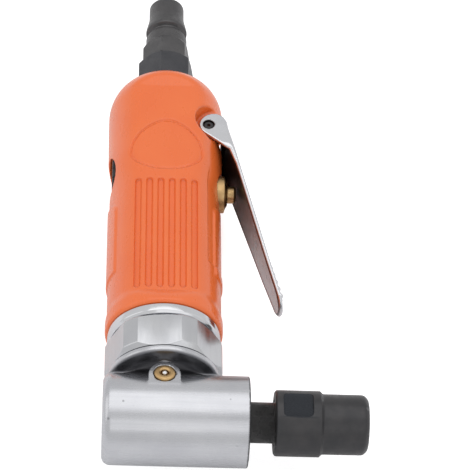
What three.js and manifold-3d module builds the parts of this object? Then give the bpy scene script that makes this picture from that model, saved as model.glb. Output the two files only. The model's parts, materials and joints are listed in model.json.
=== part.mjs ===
// A compact right angle air die grinder, built as a bench assembly of separate pieces.
// Lengths are in millimetres. While the pieces are made, the handle axis is Y (the hose end at +Y), the
// spindle axis is X (the collet at +X) and the two axes cross at the origin. At the end the tool is set
// down on Z = 0.
import * as THREE from "three";
import { mergeVertices } from "three/addons/utils/BufferGeometryUtils.js";
import Module from "manifold-3d";

const wasm = await Module();
wasm.setup();

// Clearances and facet counts shared by all pieces.
const seatGap = 0.3; // between flat faces of neighbours
const fitGap = 0.1; // radial, where one piece sits in another
const runGap = 0.12; // radial, where a piece turns or slides
const cutOver = 1; // how far a cutter runs past the face it opens
const roundSides = 30;
const boreSides = 20;
const smallSides = 12;
const sleeveSides = 36;

// The angle head: a short barrel on the spindle axis with a flared neck on the handle axis.
const head = {
  radius: 12.6,
  backX: -16.6,
  frontX: 23.25,
  backWall: 3.6,
  edgeRadius: 2.4,
  mouthChamfer: 0.5,
  neckRadius: 10.2,
  neckStart: 2.5,
  flareRadius: 15.5,
  flareStart: 6.3,
  flareEnd: 14.1,
  flareLip: 0.8,
  flareSteps: 6,
  edgeSteps: 3,
  padSteps: 6,
  spigotLength: 4.2,
  padWidth: 8.8,
  padFront: 0.2,
  padLength: 5.4,
  padTilt: 8,
};

// The clamp nut that draws the head and the motor housing together.
const nut = {
  radius: 16.4,
  flatShare: 0.93,
  length: 10.5,
  flatTurn: -6,
  faceChamfer: 1.1,
  cornerChamfer: 2.6,
  threadRadius: 13.2,
  sides: 6,
};
const frontRing = { radius: 15.9, length: 2.9, chamfer: 0.7 };

// The ground ball bearings, by their shaft radius, outer radius and width.
const spindleRearBearing = { inner: 2.5, outer: 6.5, width: 4, balls: 7 };
const spindleFrontBearing = { inner: 5, outer: 9.5, width: 5, balls: 8 };
const pinionBearing = { inner: 4, outer: 8, width: 4, balls: 7 };
const rotorBearing = { inner: 3, outer: 8, width: 5, balls: 7 };
const race = { landShare: 0.3, ballShare: 0.44, cageShare: 0.05, ballAround: 6, ballUp: 3 };

// The bevel gears. Their pitch cones meet where the two axes cross.
const teeth = {
  gear: 14,
  pinion: 11,
  module: 1.2,
  face: 3.2,
  addendumShare: 0.75,
  dedendumShare: 1.15,
  tipShare: 0.1,
  rootShare: 0.285,
  hubLength: 2.3,
};

const spindle = {
  journal: 4.4,
  neck: 5.6,
  neckFlat: 5.2,
  flatLength: 6.2,
  thread: 6.4,
  threadLength: 12,
  neckEnd: 30.2,
  colletSeat: 4.6,
  socketDepth: 16.5,
};
const retainer = { length: 6.2, wall: 2, sealLength: 4.4 };

const colletNut = {
  radius: 9.05,
  bodyLength: 13.2,
  noseRadius: 8.25,
  noseLength: 12.5,
  noseRound: 1.3,
  edgeChamfer: 0.5,
  flatAcross: 16.3,
  flatLength: 8.2,
  flatInset: 2.1,
  flatTurn: -2,
  mouth: 3.7,
  coneLength: 3,
  chamber: 5.5,
};
const collet = {
  bore: 3,
  body: 4.4,
  shoulder: 5,
  length: 18.7,
  shoulderLength: 4.2,
  slot: 0.8,
  slotLength: 12.1,
  slots: 3,
  noseInset: 1.2,
};

// The motor housing, from its front spigot to the inlet end, and the grip sleeve round it.
const housing = {
  radius: 14.5,
  rearRadius: 12.2,
  rearStart: 93.2,
  taper: 1.5,
  end: 112,
  spigotBore: 10.6,
  motorBore: 11.4,
  flatHeight: 12.4,
  passage: 3.2,
  lugReach: 15,
  lugHalfWidth: 6,
  lugLength: 8.6,
  inletDepth: 12,
};
const sleeve = {
  frontRadius: 16.5,
  flatHeight: 14.1,
  flatStart: 34.2,
  flatEnd: 111.5,
  flatRamp: 5,
  lipRadius: 15.9,
  lipLength: 0.9,
  bandLength: 3.6,
  bandTaper: 4,
  waistRadius: 16.05,
  waistEnd: 77,
  gripRadius: 16.6,
  gripStart: 88,
  rearRadius: 16.8,
  shoulderStart: 109,
  shoulderLength: 11.5,
  shoulderDrop: 9,
  shoulderSteps: 5,
  rearWall: 2.2,
  mouth: 7.3,
};
const thumb = { width: 18.6, length: 19.4, centre: 88.4, depth: 0.5, sides: 20, tuckShare: 0.26 };
const ribs = { count: 6, pitch: 3.15, width: 1.5, depth: 0.55, start: 34.4, end: 75.1, roundSides: 3 };
const panel = { start: 45, end: 75.6, halfHeight: 8.2, raise: 0.45, archShare: 0.55, sides: 6 };
const pocket = { floor: 8.9, radius: 6.4, endX: 8.2, steps: 8, turnShare: 0.5 };
const dialWindow = { centre: 85.3, halfLength: 7.3, halfHeight: 9.4, sides: 18 };

// The vane motor.
const motor = {
  plateWeb: 3.5,
  flangeShare: 0.3,
  hubWall: 2.2,
  linerLength: 30.3,
  linerWall: 1.5,
  eccentricity: 0.7,
  rotorGap: 0.2,
  shaftHole: 3.5,
  hexAcross: 4,
  hexLength: 4.6,
  slotDepth: 4.9,
  vaneThickness: 1.8,
  vaneHeight: 4.5,
  vanes: 4,
  washer: 0.5,
};
const pinionShaft = { tail: 5.6, clipWidth: 0.8, clipRadius: 5.4, clipGroove: 3.5, socketDepth: 5.2 };

// The throttle, opposite the flow regulator.
const throttle = {
  centre: 81.6,
  threadRadius: 4.2,
  bushDepth: 9.4,
  flangeRadius: 5.4,
  flangeLength: 1.9,
  seatDepth: 1.2,
  dome: 0.6,
  flangeFace: 15.6,
  stemRadius: 2.5,
  stemChamfer: 0.6,
  valveRadius: 3.6,
  valveLength: 3.4,
  springWire: 0.35,
  springRadius: 2.6,
  springTurns: 5,
  springLength: 8.4,
};
const dial = {
  radius: 6.4,
  face: -15.5,
  thickness: 1.8,
  shank: 3.9,
  shankLength: 5.4,
  slotWidth: 1.6,
  slotDepth: 0.9,
  slotLength: 9,
  slotTurn: 25,
  notches: 12,
  notchSides: 6,
  notchRadius: 0.45,
  sealWidth: 1.2,
  sealDepth: 0.8,
};

// The lever, seen from above: its pivot, the outer line of its back plate and its tip.
const lever = {
  pivotX: 12.3,
  pivotY: 99.8,
  sheet: 1.3,
  earFace: 10.4,
  earRadius: 4.3,
  earSet: 1.55,
  earSteps: 8,
  earStartShare: 0.42,
  earTurnShare: 0.9,
  earBackX: 17.3,
  earBackY: 103.4,
  backTopX: 18.2,
  backTopY: 99,
  bendX: 29.6,
  bendY: 54,
  tipX: 33.8,
  tipY: 38.2,
  flange: 1.5,
  flangeEnd: 86,
  tipHalfWidth: 5.3,
  wideUntil: 91.5,
  tipRound: 5,
  tipSteps: 4,
  throatX: 18.1,
  throatY: 91,
};
const leverPin = { radius: 1.5, bore: 0.7, inset: 0.4 };

// The hose end.
const bushing = {
  across: 15.1,
  hexLength: 10,
  shank: 6.2,
  bore: 4,
  threadRadius: 5,
  threadDepth: 9.6,
  cornerChamfer: 1.1,
  standOff: 1.3,
  turn: -12,
};
const plug = {
  across: 12.8,
  hexLength: 7.2,
  collarRadius: 6.15,
  collarLength: 3.5,
  grooveRadius: 4.9,
  grooveLength: 2.6,
  lipRadius: 6.2,
  lipLength: 0.8,
  flareLength: 4.6,
  tipRadius: 5.25,
  tipLength: 6,
  tipRound: 0.9,
  bore: 3.7,
  turn: -13,
};
const screen = { thickness: 0.8, holeRadius: 0.8, ring: 3.2, holes: 6, holeSides: 8 };
const silencer = { length: 3.4, radius: 10.2 };
const grease = {
  radius: 2.9,
  bodyRadius: 2.2,
  depth: 2.2,
  standProud: 0.5,
  hole: 1.1,
  ball: 0.8,
  dish: 0.35,
};

// Stations along the handle axis, in order from the head.
const nutFront = head.flareEnd + seatGap;
const nutRear = nutFront + nut.length;
const ringFront = nutRear + seatGap + fitGap;
const ringRear = ringFront + frontRing.length;
const sleeveFront = ringRear + seatGap;
const spigotFront = head.flareEnd + head.spigotLength + seatGap;
const frontBearingY = ringFront + seatGap;
const frontPlateRear = frontBearingY + rotorBearing.width + motor.plateWeb;
const linerFront = frontPlateRear + runGap;
const linerRear = linerFront + motor.linerLength;
const rearPlateFront = linerRear + runGap;
const rearBearingY = rearPlateFront + motor.plateWeb;
const rearHubEnd = rearBearingY + rotorBearing.width;
const sleeveRear = sleeve.shoulderStart + sleeve.shoulderLength;
const hexFront = sleeveRear + bushing.standOff;
const hexRear = hexFront + bushing.hexLength;
const plugHexFront = hexRear + seatGap;
const plugCollar = plugHexFront + plug.hexLength;
const plugGroove = plugCollar + plug.collarLength;
const plugLip = plugGroove + plug.grooveLength;
const plugFlare = plugLip + plug.lipLength + plug.flareLength;
const plugTip = plugFlare + plug.tipLength;
const inletStart = housing.end - housing.inletDepth;

// Stations along the spindle axis.
const rearBearingX = head.backX + head.backWall;
const chamberX = rearBearingX + spindleRearBearing.width;
const pitchGear = (teeth.gear * teeth.module) / 2;
const pitchPinion = (teeth.pinion * teeth.module) / 2;
const coneLength = Math.hypot(pitchGear, pitchPinion);
const rootDepth = teeth.dedendumShare * teeth.module;
const gearRootX = pitchPinion + (rootDepth * pitchGear) / coneLength;
const frontBearingX = gearRootX + teeth.hubLength;
const retainerX = frontBearingX + spindleFrontBearing.width + seatGap;
const nutStartX = spindle.neckEnd;
const noseStartX = nutStartX + colletNut.bodyLength;
const noseEndX = noseStartX + colletNut.noseLength;
const colletEndX = noseEndX - collet.noseInset;
const colletStartX = colletEndX - collet.length;
const threadEndX = nutStartX + spindle.threadLength;

// Colours as they show on the tool.
function paint(color, roughness, metalness) {
  return new THREE.MeshStandardMaterial({ color, roughness, metalness });
}
const orange = paint(0xe8662b, 0.35, 0);
const castAlloy = paint(0xc6c7cc, 0.35, 0.9);
const chrome = paint(0xd4d6da, 0.12, 1);
const steel = paint(0x9a9ca1, 0.3, 1);
const blackened = paint(0x3c3c40, 0.45, 0.7);
const brass = paint(0xc09a55, 0.3, 1);
const rubber = paint(0x17171a, 0.8, 0);
const felt = paint(0x8c877c, 0.95, 0);
const phenolic = paint(0x7a5236, 0.7, 0);

// A closed three.js geometry as a solid that can be cut and joined.
function solid(geometry) {
  const bare = geometry.clone();
  bare.deleteAttribute("normal");
  bare.deleteAttribute("uv");
  const merged = mergeVertices(bare, 1e-4);
  const vertProperties = new Float32Array(merged.attributes.position.array);
  return new wasm.Manifold(
    new wasm.Mesh({ numProp: 3, vertProperties, triVerts: new Uint32Array(merged.index.array) }),
  );
}

// A solid back as a three.js geometry.
function geometryOf(made) {
  const { vertProperties, triVerts, numProp } = made.getMesh();
  const count = vertProperties.length / numProp;
  const positions = new Float32Array(count * 3);
  for (let i = 0; i < count; i++) {
    for (let k = 0; k < 3; k++) positions[3 * i + k] = vertProperties[numProp * i + k];
  }
  const geometry = new THREE.BufferGeometry();
  geometry.setAttribute("position", new THREE.BufferAttribute(positions, 3));
  geometry.setIndex(new THREE.BufferAttribute(new Uint32Array(triVerts), 1));
  geometry.computeVertexNormals();
  return geometry;
}

const tool = new THREE.Group();
tool.name = "right_angle_die_grinder";
function place(name, made, material) {
  const piece = new THREE.Mesh(geometryOf(made), material);
  piece.name = name;
  tool.add(piece);
}

// A profile of [radius, distance] pairs turned about the handle axis.
function turnedY(profile, sides = roundSides) {
  const points = profile.map(([r, y]) => new THREE.Vector2(r, y));
  const closes = points[0].x !== 0 || points.at(-1).x !== 0;
  if (closes) points.push(points[0].clone());
  if (THREE.ShapeUtils.area(points) < 0) points.reverse();
  return solid(new THREE.LatheGeometry(points, sides));
}

// The same, turned about the spindle axis, with its distances along X.
function turnedX(profile, sides = roundSides) {
  return turnedY(profile, sides).rotate([0, 0, -90]);
}

const barY = (radius, from, to, sides = boreSides) =>
  turnedY([[0, from], [radius, from], [radius, to], [0, to]], sides);
const barX = (radius, from, to, sides = boreSides) =>
  turnedX([[0, from], [radius, from], [radius, to], [0, to]], sides);
const tubeY = (inner, outer, from, to, sides = boreSides) =>
  turnedY([[inner, from], [outer, from], [outer, to], [inner, to]], sides);
const tubeX = (inner, outer, from, to, sides = boreSides) =>
  turnedX([[inner, from], [outer, from], [outer, to], [inner, to]], sides);

// A flat outline in the XY plane, raised from one height to another.
function plate(outline, from, to) {
  const shape = new THREE.Shape(outline.map(([x, y]) => new THREE.Vector2(x, y)));
  const settings = { depth: to - from, bevelEnabled: false, curveSegments: 1 };
  return solid(new THREE.ExtrudeGeometry(shape, settings).translate(0, 0, from));
}

function block(x0, x1, y0, y1, z0, z1) {
  return plate([[x0, y0], [x1, y0], [x1, y1], [x0, y1]], z0, z1);
}

// A bar with a given width across flats, along the handle axis.
function prismY(sides, across, from, to, turn = 0) {
  const radius = across / 2 / Math.cos(Math.PI / sides);
  return barY(radius, from, to, sides).rotate([0, turn, 0]);
}

const ringPoints = (count, radius, turn = 0) =>
  Array.from({ length: count }, (_, i) => {
    const angle = (2 * Math.PI * i) / count + turn;
    return [radius * Math.cos(angle), radius * Math.sin(angle)];
  });

// Moving the spindle-axis pieces made about the handle axis.
const toSpindle = (made) => made.rotate([0, 0, -90]);

// One ball bearing as its outer race, inner race and caged balls, starting at a distance along its axis.
function bearing(name, size, start, onSpindle) {
  const turn = onSpindle ? toSpindle : (made) => made;
  const depth = size.outer - size.inner;
  const land = depth * race.landShare;
  const middle = (size.inner + size.outer) / 2;
  const ballRadius = (depth - 2 * land) * race.ballShare;
  const cage = depth * race.cageShare;
  const centre = start + size.width / 2;
  const bore = size.inner + fitGap / 2;
  place(name + "_outer_race", turn(tubeY(size.outer - land, size.outer, start, start + size.width)), steel);
  place(name + "_inner_race", turn(tubeY(bore, size.inner + land, start, start + size.width)), steel);
  let balls = tubeY(middle - cage, middle + cage, centre - ballRadius, centre + ballRadius, 2 * size.balls);
  const ball = solid(new THREE.SphereGeometry(ballRadius, race.ballAround, race.ballUp));
  for (const [x, z] of ringPoints(size.balls, middle)) balls = balls.add(ball.translate([x, centre, z]));
  place(name + "_balls", turn(balls), chrome);
}

// A straight bevel gear about the handle axis, with its pitch cone's tip at the origin.
function bevelWheel(count, pitchRadius, axial, phase) {
  const cone = Math.atan2(pitchRadius, axial);
  const high = teeth.addendumShare * teeth.module;
  const deep = teeth.dedendumShare * teeth.module;
  const tip = { r: pitchRadius + high * Math.cos(cone), y: axial - high * Math.sin(cone) };
  const root = { r: pitchRadius - deep * Math.cos(cone), y: axial + deep * Math.sin(cone) };
  const pitch = (2 * Math.PI) / count;
  const profile = [
    [root, -teeth.rootShare],
    [tip, -teeth.tipShare],
    [tip, teeth.tipShare],
    [root, teeth.rootShare],
  ];
  const corners = [];
  for (let i = 0; i < count; i++) {
    for (const [end, share] of profile) {
      const angle = (i + share) * pitch + phase;
      corners.push([end.r * Math.cos(angle), end.y, -end.r * Math.sin(angle)]);
    }
  }
  const toe = 1 - teeth.face / coneLength;
  const positions = [];
  const heelCentre = [0, root.y, 0];
  const toeCentre = [0, tip.y * toe, 0];
  const inner = corners.map((p) => p.map((v) => v * toe));
  corners.forEach((p, i) => {
    const j = (i + 1) % corners.length;
    positions.push(...p, ...corners[j], ...heelCentre);
    positions.push(...inner[i], ...toeCentre, ...inner[j]);
    positions.push(...p, ...inner[i], ...corners[j], ...corners[j], ...inner[i], ...inner[j]);
  });
  const geometry = new THREE.BufferGeometry();
  geometry.setAttribute("position", new THREE.BufferAttribute(new Float32Array(positions), 3));
  return { wheel: solid(mergeVertices(geometry, 1e-4)), root, toeY: toeCentre[1] };
}

// The head casting.
function makeHead() {
  const r = head.radius;
  const e = head.edgeRadius;
  const rounded = [[0, head.backX]];
  for (let i = 0; i <= head.edgeSteps; i++) {
    const a = (Math.PI / 2) * (i / head.edgeSteps);
    rounded.push([r - e + e * Math.sin(a), head.backX + e - e * Math.cos(a)]);
  }
  rounded.push([r, head.frontX - head.mouthChamfer], [r - head.mouthChamfer, head.frontX]);
  rounded.push([0, head.frontX]);
  let body = turnedX(rounded);
  const flare = [[0, 0], [head.neckRadius, 0]];
  const rise = head.flareRadius - head.neckRadius;
  const run = head.flareEnd - head.flareLip - head.flareStart;
  for (let i = 0; i <= head.flareSteps; i++) {
    const share = i / head.flareSteps;
    const out = rise * Math.cos((Math.PI / 2) * share) ** 2;
    flare.push([head.flareRadius - out, head.flareStart + run * share]);
  }
  const spigotEnd = head.flareEnd + head.spigotLength;
  const spigot = nut.threadRadius - runGap;
  flare.push([head.flareRadius, head.flareEnd], [spigot, head.flareEnd]);
  flare.push([spigot, spigotEnd], [0, spigotEnd]);
  body = body.add(turnedY(flare));
  const half = head.padWidth / 2;
  const arch = [[-half, head.padFront]];
  for (let i = 0; i <= head.padSteps; i++) {
    const a = Math.PI * (1 - i / head.padSteps);
    arch.push([half * Math.cos(a), head.padFront + head.padLength + half * Math.sin(a)]);
  }
  arch.push([half, head.padFront]);
  const pad = plate(arch, 0, head.radius).rotate([-head.padTilt, 0, 0]);
  body = body.add(pad);
  const bearingBore = spindleFrontBearing.outer + fitGap;
  body = body.subtract(barX(spindleRearBearing.outer + fitGap, rearBearingX - seatGap, chamberX + cutOver));
  body = body.subtract(barX(bearingBore, chamberX, head.frontX + cutOver));
  body = body.subtract(barY(pinionBearing.outer + fitGap, head.neckStart, spigotEnd + cutOver));
  return body.subtract(greaseTurned(greaseHole(), boreSides));
}

// The grease fitting stands on the head's pad and leans with it.
const greaseSeat = head.padFront + head.padLength;
function greaseTurned(profile, sides) {
  const upright = turnedY(profile, sides).rotate([90, 0, 0]);
  return upright.translate([0, greaseSeat, 0]).rotate([-head.padTilt, 0, 0]);
}
function greaseHole() {
  const shank = grease.bodyRadius + fitGap;
  const rim = grease.radius + fitGap;
  const low = head.radius - grease.depth - seatGap;
  const step = head.radius - grease.standProud;
  const top = head.radius + cutOver;
  return [[0, low], [shank, low], [shank, step], [rim, step], [rim, top], [0, top]];
}

function makeGreaseFitting() {
  const top = head.radius + grease.standProud;
  const low = head.radius - grease.depth;
  const rim = head.radius - grease.standProud + fitGap;
  const profile = [
    [0, low],
    [grease.bodyRadius, low],
    [grease.bodyRadius, rim],
    [grease.radius, rim],
    [grease.radius, top - grease.dish],
    [grease.radius - grease.dish, top],
    [grease.hole + grease.dish, top],
    [grease.hole, top - grease.dish],
    [grease.hole, low + grease.depth / 2],
    [0, low + grease.depth / 2],
  ];
  place("grease_fitting", greaseTurned(profile, boreSides), brass);
  const ballY = low + grease.depth / 2 + seatGap / 2 + grease.ball;
  const ball = solid(new THREE.SphereGeometry(grease.ball, 10, 7)).translate([0, greaseSeat, ballY]);
  place("grease_ball", ball.rotate([-head.padTilt, 0, 0]), chrome);
}

function makeNut() {
  const r = nut.radius;
  const round = [
    [r - nut.faceChamfer, nutFront],
    [r, nutFront + nut.faceChamfer],
    [r, nutRear - nut.faceChamfer / 2],
    [r - nut.faceChamfer / 2, nutRear],
    [nut.threadRadius, nutRear],
    [nut.threadRadius, nutFront],
  ];
  const across = 2 * r * nut.flatShare;
  const cornerRadius = across / 2 / Math.cos(Math.PI / nut.sides);
  const bevel = [
    [0, nutFront - cutOver],
    [r - nut.faceChamfer, nutFront - cutOver],
    [r - nut.faceChamfer, nutFront],
    [cornerRadius, nutFront + nut.cornerChamfer],
    [cornerRadius, nutRear + cutOver],
    [0, nutRear + cutOver],
  ];
  const turn = 180 / nut.sides + nut.flatTurn;
  const hex = prismY(nut.sides, across, nutFront - cutOver, nutRear + cutOver, turn);
  place("clamp_nut", turnedY(round).intersect(hex).intersect(turnedY(bevel)), chrome);
}

function makeFrontRing() {
  const inner = housing.radius + fitGap;
  const profile = [
    [inner, ringFront],
    [frontRing.radius - frontRing.chamfer, ringFront],
    [frontRing.radius, ringFront + frontRing.chamfer],
    [frontRing.radius, ringRear],
    [inner, ringRear],
  ];
  place("front_ring", turnedY(profile), chrome);
}

function makeSpindle() {
  const rear = rearBearingX + seatGap;
  const front = frontBearingX - fitGap;
  const socket = threadEndX - spindle.socketDepth;
  const profile = [
    [0, rear],
    [spindleRearBearing.inner, rear],
    [spindleRearBearing.inner, chamberX + seatGap],
    [spindle.journal, chamberX + seatGap],
    [spindle.journal, front],
    [spindleFrontBearing.inner, front],
    [spindleFrontBearing.inner, retainerX],
    [spindle.neck, retainerX],
    [spindle.neck, nutStartX],
    [spindle.thread, nutStartX + seatGap],
    [spindle.thread, threadEndX],
    [spindle.colletSeat, threadEndX],
    [spindle.colletSeat, socket],
    [0, socket],
  ];
  let made = turnedX(profile, boreSides);
  const flatStart = head.frontX + seatGap;
  const flatEnd = flatStart + spindle.flatLength;
  const wide = spindle.neck;
  for (const side of [0, 180]) {
    const cut = block(flatStart, flatEnd, -wide, wide, spindle.neckFlat, wide + cutOver);
    made = made.subtract(cut.rotate([colletNut.flatTurn + side, 0, 0]));
  }
  place("spindle", made, blackened);
}

function makeRetainer() {
  const outer = spindleFrontBearing.outer;
  const inner = outer - retainer.wall;
  const end = retainerX + retainer.length;
  const lip = (spindle.neck + inner) / 2;
  const lipLength = (retainer.length - retainer.sealLength) / 2;
  const profile = [
    [inner, retainerX],
    [outer, retainerX],
    [outer, end],
    [lip, end],
    [lip, end - lipLength],
    [inner, end - lipLength],
  ];
  place("spindle_retainer", turnedX(profile, boreSides), blackened);
  const sealStart = retainerX + seatGap;
  const seal = tubeX(spindle.neck + runGap, inner - fitGap, sealStart, sealStart + retainer.sealLength);
  place("spindle_seal", seal, rubber);
}

function makeBevels() {
  const gear = bevelWheel(teeth.gear, pitchGear, pitchPinion, Math.PI / teeth.gear);
  const gearEnd = frontBearingX - fitGap;
  const hub = barY(gear.root.r, gear.root.y - fitGap, gearEnd - seatGap);
  const bore = barY(spindle.journal + fitGap / 2, gear.toeY - cutOver, gearEnd + cutOver);
  place("bevel_gear", toSpindle(gear.wheel.add(hub).subtract(bore)), steel);

  const pinion = bevelWheel(teeth.pinion, pitchPinion, pitchGear, 0);
  const bearingStart = pinionBearingY;
  const hubEnd = bearingStart - fitGap;
  const tail = bearingStart + 2 * pinionBearing.width + seatGap + pinionShaft.tail;
  const shoulder = pinionBearing.inner + (pinionBearing.outer - pinionBearing.inner) * race.landShare;
  let shaft = pinion.wheel.add(barY(shoulder, pinion.root.y - fitGap, hubEnd));
  shaft = shaft.add(barY(pinionBearing.inner, hubEnd - fitGap, tail));
  const grooveEnd = clipY + pinionShaft.clipWidth + fitGap;
  const groove = tubeY(pinionShaft.clipGroove, pinionBearing.inner + cutOver, clipY, grooveEnd);
  const socket = prismY(6, motor.hexAcross + 2 * fitGap, tail - pinionShaft.socketDepth, tail + cutOver);
  place("bevel_pinion", shaft.subtract(groove).subtract(socket), steel);
  const clipInner = pinionShaft.clipGroove + fitGap;
  const clipFront = clipY + fitGap / 2;
  const clip = tubeY(clipInner, pinionShaft.clipRadius, clipFront, clipFront + pinionShaft.clipWidth);
  const half = pinionShaft.clipWidth;
  const reach = pinionShaft.clipRadius + cutOver;
  const opening = block(0, reach, clipY - cutOver, grooveEnd + cutOver, -half, half);
  place("pinion_circlip", clip.subtract(opening), steel);
  return tail;
}
const pinionRootY = pitchGear + (rootDepth * pitchPinion) / coneLength;
const pinionBearingY = pinionRootY + seatGap;
const clipY = pinionBearingY + 2 * pinionBearing.width + seatGap;

function makeCollet() {
  const shoulderEnd = colletEndX - colletNut.coneLength;
  const profile = [
    [collet.bore, colletStartX],
    [collet.body, colletStartX],
    [collet.body, shoulderEnd - collet.shoulderLength],
    [collet.shoulder, shoulderEnd - collet.shoulderLength / 2],
    [collet.shoulder, shoulderEnd],
    [colletNut.mouth - fitGap, colletEndX],
    [collet.bore, colletEndX],
  ];
  let made = turnedX(profile, boreSides);
  const slotStart = colletEndX - collet.slotLength;
  for (let i = 0; i < collet.slots; i++) {
    const half = collet.slot / 2;
    const slot = block(slotStart, colletEndX + cutOver, 0, collet.shoulder + cutOver, -half, half);
    made = made.subtract(slot.rotate([(360 / collet.slots) * i + colletNut.flatTurn, 0, 0]));
  }
  place("collet", made, steel);
}

function makeColletNut() {
  const n = colletNut;
  const thread = spindle.thread + runGap;
  const step = n.radius - n.noseRadius;
  const coneEnd = colletEndX + seatGap;
  const shoulderFace = coneEnd - n.coneLength;
  const outside = [
    [thread, nutStartX],
    [n.radius - n.edgeChamfer, nutStartX],
    [n.radius, nutStartX + n.edgeChamfer],
    [n.radius, noseStartX - step],
    [n.noseRadius, noseStartX],
    [n.noseRadius, noseEndX - n.noseRound],
    [n.noseRadius - n.noseRound * (1 - Math.SQRT1_2), noseEndX - n.noseRound * (1 - Math.SQRT1_2)],
    [n.noseRadius - n.noseRound, noseEndX],
    [n.mouth, noseEndX],
    [n.mouth, coneEnd],
    [n.chamber - seatGap / 2, shoulderFace],
    [n.chamber, shoulderFace - seatGap],
    [n.chamber, threadEndX + seatGap],
    [thread, threadEndX + seatGap],
  ];
  let made = turnedX(outside, boreSides);
  const half = n.flatAcross / 2;
  const flatStart = nutStartX + n.flatInset;
  for (const side of [0, 180]) {
    const cut = block(flatStart, flatStart + n.flatLength, -n.radius, n.radius, half, n.radius + cutOver);
    made = made.subtract(cut.rotate([n.flatTurn + side, 0, 0]));
  }
  place("collet_nut", made, blackened);
}

function makeMotor(pinionTail) {
  const plateRadius = housing.motorBore - fitGap;
  const hubRadius = rotorBearing.outer + motor.hubWall;
  const pocketRadius = rotorBearing.outer + fitGap;
  const plateProfile = (mouth, web, far) => [
    [pocketRadius, mouth],
    [hubRadius, mouth],
    [hubRadius, web - (web - mouth) * motor.flangeShare],
    [plateRadius, web - (web - mouth) * motor.flangeShare],
    [plateRadius, far],
    [motor.shaftHole, far],
    [motor.shaftHole, web],
    [pocketRadius, web],
  ];
  const webFront = frontBearingY + rotorBearing.width;
  const frontProfile = plateProfile(frontBearingY, webFront, frontPlateRear);
  const rearProfile = plateProfile(rearHubEnd, rearBearingY, rearPlateFront);
  place("front_end_plate", turnedY(frontProfile, boreSides), steel);
  place("rear_end_plate", turnedY(rearProfile, boreSides), steel);

  const boreRadius = plateRadius - motor.linerWall - motor.eccentricity / 2;
  const linerBore = barY(boreRadius, linerFront - cutOver, linerRear + cutOver, roundSides);
  const liner = barY(plateRadius, linerFront, linerRear);
  place("cylinder_liner", liner.subtract(linerBore.translate([0, 0, -motor.eccentricity])), steel);

  const rotorRadius = boreRadius - motor.eccentricity - runGap;
  const rotorFront = linerFront + motor.rotorGap;
  const rotorRear = linerRear - motor.rotorGap;
  const shaft = rotorBearing.inner;
  const shaftFront = pinionTail + seatGap;
  const hexFrontY = pinionTail - motor.hexLength;
  let rotor = turnedY([
    [0, shaftFront],
    [shaft, shaftFront],
    [shaft, rotorFront],
    [rotorRadius, rotorFront],
    [rotorRadius, rotorRear],
    [shaft, rotorRear],
    [shaft, rearHubEnd],
    [0, rearHubEnd],
  ], boreSides);
  rotor = rotor.add(prismY(6, motor.hexAcross, hexFrontY, shaftFront + fitGap));
  const slotHalf = motor.vaneThickness / 2 + fitGap;
  const slotFloor = rotorRadius - motor.slotDepth;
  for (let i = 0; i < motor.vanes; i++) {
    const turn = (360 / motor.vanes) * i + 360 / motor.vanes / 2;
    const slot = block(slotFloor, rotorRadius + cutOver, rotorFront, rotorRear, -slotHalf, slotHalf);
    rotor = rotor.subtract(slot.rotate([0, turn, 0]));
    const top = rotorRadius - fitGap / 2;
    const vaneHalf = motor.vaneThickness / 2;
    const vane = block(top - motor.vaneHeight, top, rotorFront, rotorRear, -vaneHalf, vaneHalf);
    place("vane_" + (i + 1), vane.rotate([0, turn, 0]), phenolic);
  }
  place("rotor", rotor, steel);

  const flangeRear = rearBearingY + (rearHubEnd - rearBearingY) * motor.flangeShare;
  const washerFront = flangeRear + fitGap;
  const washerRear = washerFront + motor.washer;
  place("wave_washer", tubeY(hubRadius + fitGap, plateRadius, washerFront, washerRear), steel);
  return washerRear + fitGap;
}

// Cutters shared by the housing and the sleeve.
function throttleBore() {
  const bore = barX(throttle.threadRadius + fitGap, throttleEnd, housing.radius + cutOver);
  return bore.translate([0, throttle.centre, 0]);
}
function upright(radius, length, sides) {
  const bar = solid(new THREE.CylinderGeometry(radius, radius, length, sides));
  return bar.rotate([90, 0, 0]).translate([lever.pivotX, lever.pivotY, 0]);
}
const pinHole = (radius) => upright(radius, 4 * lever.earFace, smallSides);
const valveFront = throttle.flangeFace - throttle.bushDepth - seatGap;
const springStart = valveFront - throttle.valveLength - seatGap;
const throttleEnd = springStart - throttle.springLength - seatGap;
const lugFront = lever.pivotY - housing.lugLength / 2;
const lugRear = lever.pivotY + housing.lugLength / 2;

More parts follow.
